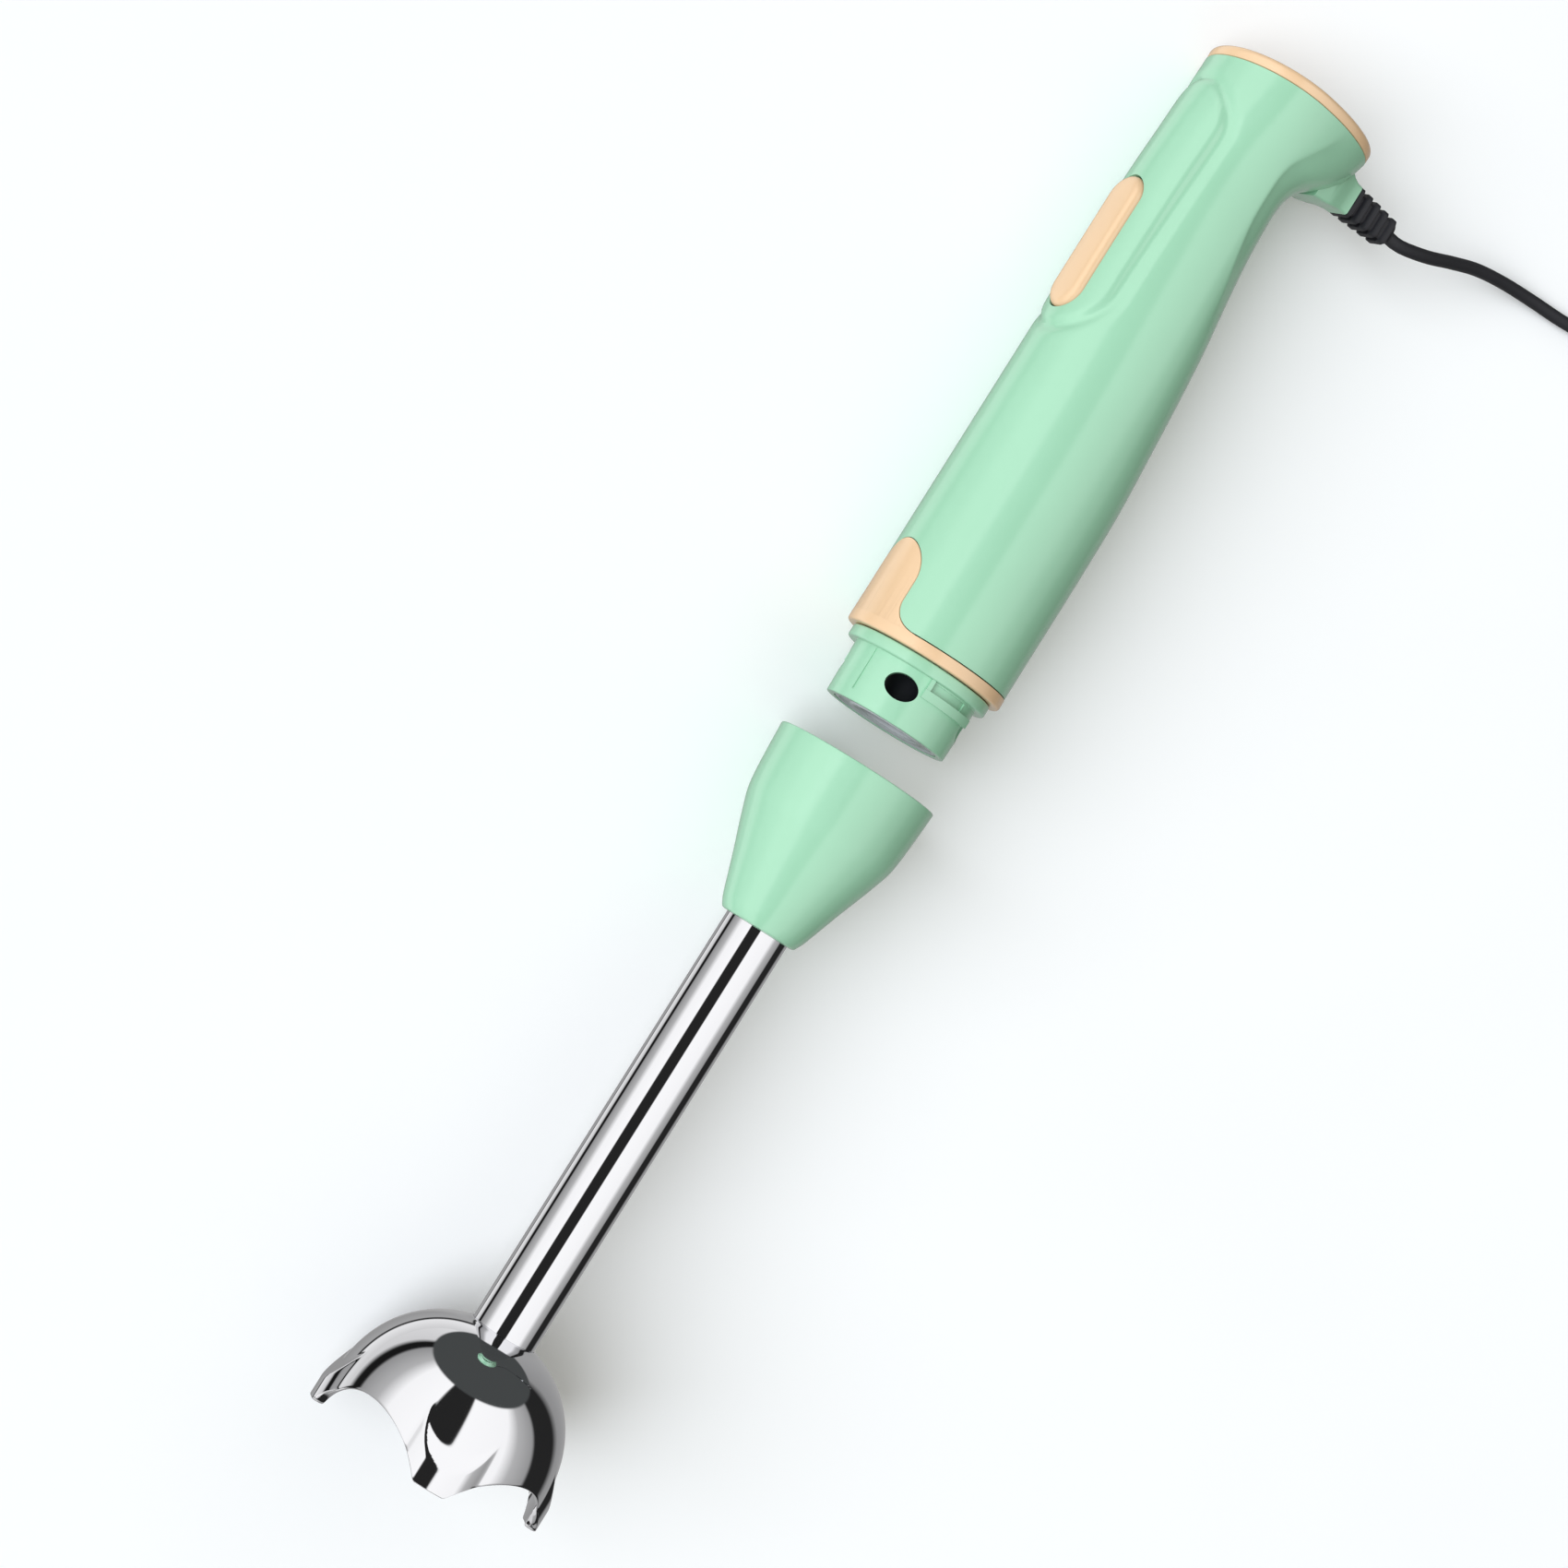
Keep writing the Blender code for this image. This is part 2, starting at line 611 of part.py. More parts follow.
def switchgear():
    face = pill(BUTTON_LOW, BUTTON_HIGH, BUTTON_HALF_WIDTH)
    button = add("power_button", prism(face, FLANGE_FACE - MM, BUTTON_FACE, "X"), PEACH)
    flange = pill(BUTTON_LOW - 1.6 * MM, BUTTON_HIGH + 1.6 * MM, BUTTON_HALF_WIDTH + 1.6 * MM)
    flange_back = FLANGE_FACE - FLANGE_THICKNESS
    pusher_back = flange_back - PUSHER_LENGTH
    pusher_height = LEVER_PIVOT[2] + LEVER_ARM
    pusher = cylinder(1.6 * MM, (pusher_back, 0, pusher_height), (FLANGE_FACE, 0, pusher_height), SMALL)
    join(
        button,
        helper("button_flange", prism(flange, flange_back, FLANGE_FACE, "X")),
        helper("button_pusher", pusher),
    )

    carrier = add("switch_carrier", box((1.5 * MM, 26 * MM, 50 * MM), (2.75 * MM, 0, 122 * MM)), WHITE)
    for side in (-1, 1):
        ear = box((13 * MM, 1.8 * MM, 5 * MM), (9.3 * MM, side * 5.6 * MM, LEVER_PIVOT[2]))
        join(carrier, helper(f"lever_ear_{side}", ear))
    spring_height = 140 * MM
    post = cylinder(4.6 * MM, (3 * MM, 0, spring_height), (11.6 * MM, 0, spring_height), MEDIUM)
    join(carrier, helper("spring_post", post))
    pivot_x, _, pivot_z = LEVER_PIVOT

    def across(radius, half_length):
        """A round bar on the lever's pivot."""
        ends = [(pivot_x, side * half_length, pivot_z) for side in (-1, 1)]
        return cylinder(radius, *ends, SMALL)

    pin_hole = helper("pin_hole", across(1.35 * MM, 9 * MM))
    cut(carrier, pin_hole)
    add("lever_pin", across(1.0 * MM, 7.2 * MM), STEEL)
    lever = add("switch_lever", across(2.2 * MM, 4.2 * MM), GREY)
    arm_length = LEVER_ARM + 2 * MM
    arm = box((1.3 * MM, 6 * MM, arm_length), (pivot_x + 1.4 * MM, 0, pivot_z + arm_length / 2))
    join(lever, helper("lever_arm", arm))
    cut(lever, pin_hole)

    add("micro_switch", box((8 * MM, 6.4 * MM, 20 * MM), (7.8 * MM, 0, 119 * MM)), BLACK)
    wire, turns, turn_points = 0.45 * MM, 4, 10
    start, end = 11.9 * MM + wire, flange_back - GAP - wire
    helix = []
    for i in range(turns * turn_points + 1):
        a = 2 * pi * i / turn_points
        x = start + (end - start) * i / (turns * turn_points)
        helix.append((x, 3.0 * MM * cos(a), spring_height + 3.0 * MM * sin(a)))
    tube_curve("button_spring", helix, wire, STEEL, 1)

    board_x = -9 * MM
    add("circuit_board", box((1.6 * MM, 26 * MM, 44 * MM), (board_x, 0, 106 * MM)), BOARD)
    front = board_x + 0.8 * MM + GAP
    add("filter_capacitor", box((9 * MM, 14 * MM, 18 * MM), (front + 4.5 * MM, -3 * MM, 96 * MM)), PEACH)
    add("rectifier", box((4 * MM, 8 * MM, 8 * MM), (front + 2 * MM, 5 * MM, 114 * MM)), BLACK)


# Cord entry.


def cord_entry():
    """Strain relief, clamp and the two inner leads. The relief's ribs are square rings."""

    def square(x, half):
        return [(x, y * half, BOSS_MIDDLE + z * half) for y, z in ((-1, -1), (1, -1), (1, 1), (-1, 1))]

    start = BOSS_FACE - GAP
    rows = [square(start, 4.8 * MM), square(start - 1.6 * MM, 4.8 * MM)]
    pitch, ribs = 3.6 * MM, 4
    for i in range(ribs):
        low = start - 1.6 * MM - pitch * i
        rows += [
            square(low, 3.4 * MM),
            square(low - 1.4 * MM, 3.4 * MM),
            square(low - 1.4 * MM, 4.5 * MM - 0.15 * MM * i),
            square(low - pitch, 4.5 * MM - 0.15 * MM * i),
        ]
    rows += [square(start - 1.6 * MM - pitch * ribs, 2.8 * MM), square(start - RELIEF_LENGTH, 2.4 * MM)]
    relief = add("strain_relief", loft(rows), BLACK)
    stem = cylinder(3.3 * MM, (start - MM, 0, BOSS_MIDDLE), (-22.0 * MM, 0, BOSS_MIDDLE), SMALL)
    head = cylinder(4.2 * MM, (-22.8 * MM, 0, BOSS_MIDDLE), (-21.2 * MM, 0, BOSS_MIDDLE), SMALL)
    join(relief, helper("relief_stem", stem), helper("relief_head", head))

    clamp_x = -14.5 * MM
    clamp = add("cord_clamp", box((5 * MM, 20 * MM, 3 * MM), (clamp_x, 0, 176 * MM)), WHITE)
    for name, y in (("clamp_screw_left", -7 * MM), ("clamp_screw_right", 7 * MM)):
        hole = cylinder(1.6 * MM, (clamp_x, y, 170 * MM), (clamp_x, y, 180 * MM), SMALL)
        cut(clamp, helper(name + "_hole", hole))
        outline = [
            (0, 171.5 * MM),
            (1.3 * MM, 172 * MM),
            (1.3 * MM, 177.9 * MM),
            (2.6 * MM, 177.9 * MM),
            (2.4 * MM, 179.6 * MM),
            (0, 179.8 * MM),
        ]
        add_turned(name, outline, STEEL, SMALL).location = (clamp_x, y, 0)
    for name, y in (("lead_live", 2.6 * MM), ("lead_neutral", -2.6 * MM)):
        route = [
            (-20.4 * MM, y * 0.5, BOSS_MIDDLE + 1 * MM),
            (-11 * MM, y * 0.7, BOSS_MIDDLE + 1 * MM),
            (-5 * MM, y, 171 * MM),
            (-7 * MM, y, 150 * MM),
            (-8.5 * MM, y, 128.6 * MM),
        ]
        tube_curve(name, smooth_route(route, 6 * MM), 0.9 * MM, BLACK if y > 0 else GREY, 1)


# Blending shaft.


def collar():
    outside = [(r, COLLAR_MOUTH - depth) for depth, r in COLLAR_OUTLINE]
    shoulder = COLLAR_MOUTH - BAND_HEIGHT
    bottom = COLLAR_MOUTH - COLLAR_LENGTH
    inside = [
        (TUBE_RADIUS + GAP, bottom),
        (TUBE_RADIUS + GAP, -60.3 * MM),
        (14 * MM, -60.3 * MM),
        (14 * MM, COLLAR_FLOOR),
        (COLLAR_BORE - 1.2 * MM, COLLAR_FLOOR),
        (COLLAR_BORE, COLLAR_FLOOR + 1.2 * MM),
        (COLLAR_BORE, shoulder),
        (COLLAR_MOUTH_BORE, shoulder),
        (COLLAR_MOUTH_BORE, COLLAR_MOUTH),
    ]
    obj = add_turned("collar", outside + inside, GREEN)
    lug_low = shoulder - 0.2 * MM - LUG_HEIGHT
    for i, middle in enumerate((LOCK_PHASE, LOCK_PHASE + 180)):
        start, end = middle - LUG_HALF_ANGLE, middle + LUG_HALF_ANGLE
        lug = bar_round(SPIGOT_RADIUS + GAP, COLLAR_BORE + MM, lug_low, lug_low + LUG_HEIGHT, start, end, 3)
        join(obj, helper(f"lug_{i + 1}", lug))
    seal_low = -SPIGOT_LENGTH - DOCK_TRAVEL
    seal = [
        (SPIGOT_END_RADIUS + GAP, seal_low + 0.5 * MM),
        (SPIGOT_END_RADIUS + MM, seal_low),
        (COLLAR_BORE - GAP, seal_low),
        (COLLAR_BORE - GAP, seal_low + 2.4 * MM),
        (SPIGOT_END_RADIUS + GAP, seal_low + 2.0 * MM),
    ]
    add_turned("collar_seal", seal, BLACK)


def shaft_tube():
    low, high = BELL_TIP + BELL_HEIGHT - 4 * MM, -60.6 * MM
    add_turned("shaft_tube", ring_outline(TUBE_RADIUS - TUBE_WALL, TUBE_RADIUS, low, high), CHROME, LARGE)
    carrier = [
        (DRIVE_RADIUS + 2.4 * MM, -60.0 * MM),
        (13.7 * MM, -60.0 * MM),
        (13.7 * MM, -56.2 * MM),
        (9 * MM, -55.6 * MM),
        (9 * MM, -54.6 * MM),
        (DRIVE_RADIUS + 2.4 * MM, -54.6 * MM),
    ]
    add_turned("bearing_carrier", carrier, GREY, MEDIUM)
    upper = ring_outline(DRIVE_RADIUS + GAP, DRIVE_RADIUS + 2.1 * MM, -60.0 * MM, -54.6 * MM)
    add_turned("upper_shaft_bush", upper, BRONZE, MEDIUM)
    inside = TUBE_RADIUS - TUBE_WALL - GAP
    lower = ring_outline(DRIVE_RADIUS + GAP, inside, low + 1 * MM, low + 13 * MM)
    add_turned("lower_shaft_bush", lower, BRONZE, MEDIUM)
    seal = [
        (DRIVE_RADIUS + GAP, low - 3.5 * MM),
        (6 * MM, low - 3.5 * MM),
        (inside, low - 1.5 * MM),
        (inside, low + 0.7 * MM),
        (DRIVE_RADIUS + GAP, low + 0.7 * MM),
    ]
    add_turned("shaft_seal", seal, BLACK, MEDIUM)


def dome(inset, steps=9):
    """The bell's outline from its rim up to the tube, as (radius, height)."""
    top = BELL_HEIGHT - BELL_SKIRT + 0.6 * MM - inset
    radius = BELL_RADIUS - inset
    points = []
    for i in range(steps):
        a = pi / 2 * i / steps
        exponent = 2 / BELL_ROUNDNESS
        points.append((radius * cos(a) ** exponent, BELL_TIP + BELL_SKIRT + top * sin(a) ** exponent))
    neck = TUBE_RADIUS + GAP
    return [p for p in points if p[0] > neck + MM]


def bell_foot(angle):
    """A rounded foot whose flat top leans against the dome."""
    flat = arc((FOOT_REACH - FOOT_RADIUS, 0), FOOT_RADIUS, -44, 44, 12)
    turn = Matrix.Rotation(angle, 3, "Z")

    def top(x):
        return BELL_TIP + FOOT_HEIGHT + FOOT_SLOPE * (FOOT_REACH - x)

    low = [turn @ Vector((x, y, BELL_TIP)) for x, y in flat]
    high = [turn @ Vector((x, y, top(x))) for x, y in flat]
    return loft([low, high])


def bell():
    outer, inner = dome(0), dome(BELL_WALL)
    neck = TUBE_RADIUS + GAP
    obj = add_turned(
        "bell_guard",
        [(BELL_RADIUS, BELL_TIP)]
        + outer
        + [(neck + 1.6 * MM, BELL_TIP + BELL_HEIGHT - 0.6 * MM)]
        + [(neck + 1.2 * MM, BELL_TIP + BELL_HEIGHT + 0.8 * MM)]
        + [(neck, BELL_TIP + BELL_HEIGHT + 0.8 * MM)]
        + [(neck, BELL_TIP + BELL_HEIGHT - 2.2 * MM)]
        + inner[::-1]
        + [(BELL_RADIUS - BELL_WALL, BELL_TIP)],
        CHROME,
    )
    hollow = turned_helper(
        "bell_hollow",
        [(0, BELL_TIP - 2 * MM), (BELL_RADIUS - BELL_WALL, BELL_TIP - 2 * MM)]
        + inner
        + [(neck - 0.2 * MM, BELL_TIP + BELL_HEIGHT - 2 * MM), (0, BELL_TIP + BELL_HEIGHT - 2 * MM)],
    )
    for i in range(4):
        foot = helper(f"foot_{i + 1}", bell_foot(radians(LOBE_PHASE + 90 * i)))
        cut(foot, hollow)
        join(obj, foot)
    for i in range(2):
        angle = radians(LOBE_PHASE + 45 + 90 * i)
        side = Vector((cos(angle), sin(angle), 0)) * 50 * MM
        middle = Vector((0, 0, BELL_TIP + ARCH_RISE - ARCH_RADIUS))
        arch = cylinder(ARCH_RADIUS, middle - side, middle + side, LARGE)
        cut(obj, helper(f"arch_{i + 1}", arch))


def blade_drive():
    shaft_low = BLADE_PLANE - 6 * MM
    add("drive_shaft", cylinder(DRIVE_RADIUS, (0, 0, shaft_low), (0, 0, -43.6 * MM), SMALL), STEEL)
    hex_low = -16.6 * MM - DOCK_TRAVEL
    bored("drive_hex", polygon(6, HEX_RADIUS), hex_low, hex_low + 8 * MM, DRIVE_RADIUS + GAP, WHITE)
    hub = [
        (DRIVE_RADIUS + GAP, BLADE_PLANE + 2 * MM),
        (5.5 * MM, BLADE_PLANE + 2 * MM),
        (6.5 * MM, BLADE_PLANE + 8 * MM),
        (DRIVE_RADIUS + GAP, BLADE_PLANE + 8 * MM),
    ]
    add_turned("blade_hub", hub, WHITE, MEDIUM)
    blade()
    nut_low = BLADE_PLANE - 5.5 * MM
    bored("blade_nut", polygon(6, 5.2 * MM), nut_low, nut_low + 4 * MM, DRIVE_RADIUS + GAP, STEEL)


def blade():
    """Two wings bent opposite ways, 1.4 mm thick, swept like a propeller."""
    half = 0.7 * MM
    stations = []
    for i in range(-6, 7):
        span = i / 6
        x = BLADE_REACH * span
        half_width = (6.4 - 2.8 * abs(span)) * MM
        rise = 5 * MM * max(0, abs(span) - 0.35) * (1 if span > 0 else -1)
        twist = radians(14) * span
        ring = []
        for u, v in ((-1, -1), (1, -1), (1, 1), (-1, 1)):
            edge = half if u * span <= 0 else half * 0.5
            y, z = u * half_width, v * edge
            height = BLADE_PLANE + rise + y * sin(twist) + z * cos(twist)
            ring.append((x, y * cos(twist) - z * sin(twist), height))
        stations.append(ring)
    obj = add("blade", loft(stations), STEEL)
    bore = cylinder(DRIVE_RADIUS + GAP, (0, 0, BLADE_PLANE - 5 * MM), (0, 0, BLADE_PLANE + 5 * MM), SMALL)
    cut(obj, helper("blade_bore", bore))


# Laying the tool down, and the cord on the table.


def evaluated_corners(obj):
    graph = bpy.context.evaluated_depsgraph_get()
    shape = obj.evaluated_get(graph)
    mesh = shape.to_mesh()
    points = [shape.matrix_world @ v.co for v in mesh.vertices]
    shape.to_mesh_clear()
    return points


def place_tool(slope, offset):
    """Tool +Z along world +X, tool +X along world +Y, then the head end lowered by slope."""
    lying = Matrix(((0, 0, 1, 0), (1, 0, 0, 0), (0, 1, 0, 0), (0, 0, 0, 1)))
    TOOL.matrix_world = Matrix.Translation(offset) @ Matrix.Rotation(slope, 4, "Y") @ lying
    bpy.context.view_layer.update()


def lay_down():
    """Both the bell and the head touch the table, and the origin is under the middle of the tool."""
    place_tool(0, (0, 0, 0))
    bell_low = min(evaluated_corners(bpy.data.objects["bell_guard"]), key=lambda p: p.z)
    head_low = min(evaluated_corners(bpy.data.objects["top_cap"]), key=lambda p: p.z)
    slope = atan2(head_low.z - bell_low.z, head_low.x - bell_low.x)
    place_tool(slope, (0, 0, 0))
    solids = [o for o in PARTS.objects if o.type in ("MESH", "CURVE")]
    points = [p for o in solids for p in evaluated_corners(o)]
    low = [min(p[k] for p in points) for k in range(3)]
    high = [max(p[k] for p in points) for k in range(3)]
    place_tool(slope, (-(low[0] + high[0]) / 2, -(low[1] + high[1]) / 2, -low[2]))


def cord_route():
    """From the strain relief over to the table and on to the coil."""
    exit_point = TOOL.matrix_world @ Vector((BOSS_FACE - 2 * GAP - RELIEF_LENGTH, 0, BOSS_MIDDLE))
    ahead = TOOL.matrix_world.to_3x3() @ Vector((-1, 0, 0))
    on_table = CORD_RADIUS + 0.1 * MM
    coil_x, coil_y = COIL_MIDDLE
    return [
        exit_point,
        exit_point + ahead * 7 * MM,
        (0.2178, -0.0625, 0.0214),
        (0.2230, -0.0745, 0.0163),
        (0.2280, -0.0870, 0.0110),
        (0.2318, -0.1010, 0.0062),
        (0.2344, -0.1155, 0.0031),
        (0.2364, -0.1310, on_table),
        (0.2400, -0.1500, on_table),
        (0.2450, -0.1680, on_table),
        (coil_x + OUTER_TURN, coil_y + 29 * MM, on_table),
        (coil_x + OUTER_TURN, coil_y + 17 * MM, on_table),
    ]


def coil_outline(grow=0):
    """Cross-section of the wound coil, a square with its corners cut off."""
    inner, outer = COIL_RADIUS - COIL_HALF_WIDTH - grow, COIL_RADIUS + COIL_HALF_WIDTH + grow
    corner, top = 1.5 * MM, COIL_HEIGHT + grow
    return [
        (inner, corner),
        (inner + corner, 0),
        (outer - corner, 0),
        (outer, corner),
        (outer, top - corner),
        (outer - corner, top),
        (inner + corner, top),
        (inner, top - corner),
    ]


def cord():
    tube_curve("power_cord", smooth_route(cord_route(), 5 * MM), CORD_RADIUS, BLACK, 2, None)
    mesh, steps = turned(coil_outline(), MEDIUM + 4)
    screw(add("cord_coil", mesh, BLACK, (*COIL_MIDDLE, 0), None), steps)

    coil_x, coil_y = COIL_MIDDLE
    room = GAP + 0.8 * MM  # the turns curve under a straight clip
    inner = Vector((2 * (COIL_HALF_WIDTH + room), TIE_WIDTH + 2 * MM, COIL_HEIGHT + GAP))
    outer = Vector((inner.x + 2 * TIE_THICKNESS, TIE_WIDTH, inner.z + TIE_THICKNESS))
    tie = add("cord_tie", box(outer, (0, 0, outer.z / 2)), GREY, (coil_x - COIL_RADIUS, coil_y, 0), None)
    below = MM
    opening = box(inner + Vector((0, 0, below)), (0, 0, (inner.z - below) / 2))
    opening = helper("tie_opening", opening, tie.location)
    opening.parent = None
    cut(tie, opening)

    plug_y, plug_z = coil_y - OUTER_TURN, PLUG_SECTIONS[-2][2]
    rings = []
    for distance, half_width, half_height in PLUG_SECTIONS:
        x = coil_x - 18 * MM - distance
        ring = [(x, plug_y + u * half_width, plug_z + v * half_height) for u, v in rounded_square(1, 0.5)]
        rings.append(ring)
    add("plug_body", loft(rings), BLACK, parent=None)
    end = rings[-1][0][0] - GAP
    for name, side in (("plug_pin_left", -1), ("plug_pin_right", 1)):
        y = plug_y + side * PIN_SPACING / 2
        pin = cylinder(PIN_RADIUS, (end, y, plug_z), (end - PIN_LENGTH, y, plug_z), SMALL)
        add(name, pin, STEEL, parent=None)


def main():
    housing()
    trim_ring()
    top_cap()
    spigot()
    motor()
    rotor()
    switchgear()
    cord_entry()
    collar()
    shaft_tube()
    bell()
    blade_drive()
    lay_down()
    cord()


main()
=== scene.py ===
"""Looks of the immersion blender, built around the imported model.

The fine pieces are modelled in the tool's own frame, as the CAD model is: +Z runs from the blade to the
cord end, +X is the side with the button, and Z = 0 is the lower face of the handle's trim ring.
"""

import json
from math import cos, exp, pi, radians, sin, sqrt

import bmesh
import bpy
from mathutils import Matrix, Vector

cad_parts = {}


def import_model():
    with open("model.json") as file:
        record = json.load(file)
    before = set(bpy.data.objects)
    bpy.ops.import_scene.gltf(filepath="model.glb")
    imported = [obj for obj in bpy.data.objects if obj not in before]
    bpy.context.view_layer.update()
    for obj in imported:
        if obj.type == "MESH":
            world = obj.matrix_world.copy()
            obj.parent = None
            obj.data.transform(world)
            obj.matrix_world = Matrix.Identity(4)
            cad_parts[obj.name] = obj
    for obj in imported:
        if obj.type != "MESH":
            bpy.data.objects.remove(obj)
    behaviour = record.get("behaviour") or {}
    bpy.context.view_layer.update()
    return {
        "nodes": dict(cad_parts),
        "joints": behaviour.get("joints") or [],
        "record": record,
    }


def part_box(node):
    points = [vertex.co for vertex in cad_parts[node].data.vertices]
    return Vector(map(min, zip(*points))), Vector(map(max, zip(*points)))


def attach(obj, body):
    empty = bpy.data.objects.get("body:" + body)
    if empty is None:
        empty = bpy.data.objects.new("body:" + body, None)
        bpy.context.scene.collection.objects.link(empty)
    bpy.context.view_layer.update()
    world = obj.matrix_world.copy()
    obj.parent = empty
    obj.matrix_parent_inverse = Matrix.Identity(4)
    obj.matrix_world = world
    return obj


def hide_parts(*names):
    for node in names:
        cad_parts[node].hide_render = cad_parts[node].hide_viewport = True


MM = 0.001
GAP = 0.3 * MM

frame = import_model()
SPIN = next(j for j in frame["joints"] if j["name"] == "motor_spin")


def tool_matrix():
    """From the tool's frame to the row's frame."""
    along = Vector(SPIN["axis"]).normalized()
    front = Vector((0, 1, 0))
    turn = Matrix((front, along.cross(front), along)).transposed()
    return Matrix.Translation(SPIN["pos_m"]) @ turn.to_4x4()


TOOL = tool_matrix()
TO_TOOL = TOOL.inverted()


def tool_points(node):
    return [TO_TOOL @ v.co for v in frame["nodes"][node].data.vertices]


def span(node):
    """Where a CAD node starts and ends along the tool."""
    heights = [p.z for p in tool_points(node)]
    return min(heights), max(heights)


def reach(node):
    """How far a CAD node reaches from the tool's axis."""
    return max(p.xy.length for p in tool_points(node))


# Camera, on the photograph's side of the tool. Angles are around the tool's axis, from its front.

VIEW_ANGLE = radians(60)
CAMERA_DISTANCE = 1.0
CAMERA_HEIGHT = -0.100  # along the tool
AIM_ASIDE, AIM_HEIGHT = -0.01505, -0.04868
ROLL = radians(32.1)
LENS = 82.6


def camera():
    view = Vector((cos(VIEW_ANGLE), sin(VIEW_ANGLE), 0))
    aside = Vector((-sin(VIEW_ANGLE), cos(VIEW_ANGLE), 0))
    eye = TOOL @ (view * CAMERA_DISTANCE + Vector((0, 0, CAMERA_HEIGHT)))
    aim = TOOL @ (aside * AIM_ASIDE + Vector((0, 0, AIM_HEIGHT)))
    forward = (aim - eye).normalized()
    right = forward.cross(TOOL.to_3x3().col[2]).normalized()
    up = right.cross(forward)
    turned_right = cos(ROLL) * right + sin(ROLL) * up
    turned_up = cos(ROLL) * up - sin(ROLL) * right
    made = bpy.data.objects.new("camera", bpy.data.cameras.new("camera"))
    made.data.lens = LENS
    made.data.sensor_width = 36
    made.data.clip_start = 0.05
    turn = Matrix((turned_right, turned_up, -forward)).transposed().to_4x4()
    made.matrix_world = Matrix.Translation(eye) @ turn
    bpy.context.scene.collection.objects.link(made)
    bpy.context.scene.camera = made


# Materials.


def node(tree, kind, **inputs):
    made = tree.nodes.new(kind)
    for key, value in inputs.items():
        made.inputs[key.replace("_", " ")].default_value = value
    return made


def principled(name, colour, roughness, metallic=0.0, **more):
    made = bpy.data.materials.new(name)
    made.use_nodes = True
    shader = made.node_tree.nodes["Principled BSDF"]
    shader.inputs["Base Color"].default_value = (*colour, 1)
    shader.inputs["Roughness"].default_value = roughness
    shader.inputs["Metallic"].default_value = metallic
    for key, value in more.items():
        shader.inputs[key.replace("_", " ")].default_value = value
    return made, made.node_tree, shader


def noise(tree, scale, detail=3.0, stretch=(1, 1, 1)):
    place = tree.nodes.new("ShaderNodeTexCoord")
    mapping = node(tree, "ShaderNodeMapping", Scale=stretch)
    tree.links.new(place.outputs["Object"], mapping.inputs["Vector"])
    texture = node(tree, "ShaderNodeTexNoise", Scale=scale, Detail=detail)
    tree.links.new(mapping.outputs["Vector"], texture.inputs["Vector"])
    return texture


def vary_colour(tree, shader, colour, scale, amount):
    """Slight clouds of a darker and a lighter tone."""
    ramp = tree.nodes.new("ShaderNodeValToRGB")
    ramp.color_ramp.elements[0].position = 0.3
    ramp.color_ramp.elements[1].position = 0.7
    ramp.color_ramp.elements[0].color = (*[c * (1 - amount) for c in colour], 1)
    ramp.color_ramp.elements[1].color = (*[min(1, c * (1 + amount)) for c in colour], 1)
    tree.links.new(noise(tree, scale).outputs["Fac"], ramp.inputs["Fac"])
    tree.links.new(ramp.outputs["Color"], shader.inputs["Base Color"])


def vary_roughness(tree, shader, low, high, scale, stretch=(1, 1, 1)):
    spread = node(tree, "ShaderNodeMapRange", To_Min=low, To_Max=high)
    tree.links.new(noise(tree, scale, 4, stretch).outputs["Fac"], spread.inputs["Value"])
    tree.links.new(spread.outputs["Result"], shader.inputs["Roughness"])


def add_bump(tree, shader, scale, depth, strength, stretch=(1, 1, 1)):
    bump = node(tree, "ShaderNodeBump", Distance=depth, Strength=strength)
    tree.links.new(noise(tree, scale, 2, stretch).outputs["Fac"], bump.inputs["Height"])
    tree.links.new(bump.outputs["Normal"], shader.inputs["Normal"])


def plastic(name, colour, roughness, grain=0.06):
    """Moulded plastic: an even colour, a fine spark-eroded grain and a soft sheen."""
    made, tree, shader = principled(name, colour, roughness, Specular_IOR_Level=1.0)
    vary_colour(tree, shader, colour, 35, 0.015)
    vary_roughness(tree, shader, roughness - 0.012, roughness + 0.018, 60)
    add_bump(tree, shader, 4200, 0.00002, grain)
    return made


def rubber(name, colour, roughness=0.55):
    made, tree, shader = principled(name, colour, roughness)
    vary_colour(tree, shader, colour, 80, 0.12)
    vary_roughness(tree, shader, roughness - 0.08, roughness + 0.1, 150)
    add_bump(tree, shader, 2600, 0.00006, 0.25)
    return made


def polished(name, colour, roughness):
    """Polished stainless steel, with the faintest polishing marks round it."""
    made, tree, shader = principled(name, colour, roughness, 1.0)
    vary_roughness(tree, shader, roughness * 0.6, roughness * 1.6, 90)
    return made


def machined(name, colour, roughness, stretch=(1, 1, 30)):
    """Metal with fine lines from a lathe, a press or a brush."""
    made, tree, shader = principled(name, colour, roughness, 1.0)
    vary_colour(tree, shader, colour, 120, 0.06)
    vary_roughness(tree, shader, roughness - 0.06, roughness + 0.1, 300, stretch)
    add_bump(tree, shader, 700, 0.00004, 0.2, stretch)
    return made


def wound_wire(name, colour):
    """Enamelled wire, seen as fine bands."""
    made, tree, shader = principled(name, colour, 0.35, 0.9)
    wave = node(tree, "ShaderNodeTexWave", Scale=420, Distortion=2.0)
    place = tree.nodes.new("ShaderNodeTexCoord")
    bump = node(tree, "ShaderNodeBump", Distance=0.0002, Strength=0.6)
    tree.links.new(place.outputs["Object"], wave.inputs["Vector"])
    tree.links.new(wave.outputs["Fac"], bump.inputs["Height"])
    tree.links.new(bump.outputs["Normal"], shader.inputs["Normal"])
    vary_colour(tree, shader, colour, 200, 0.15)
    return made


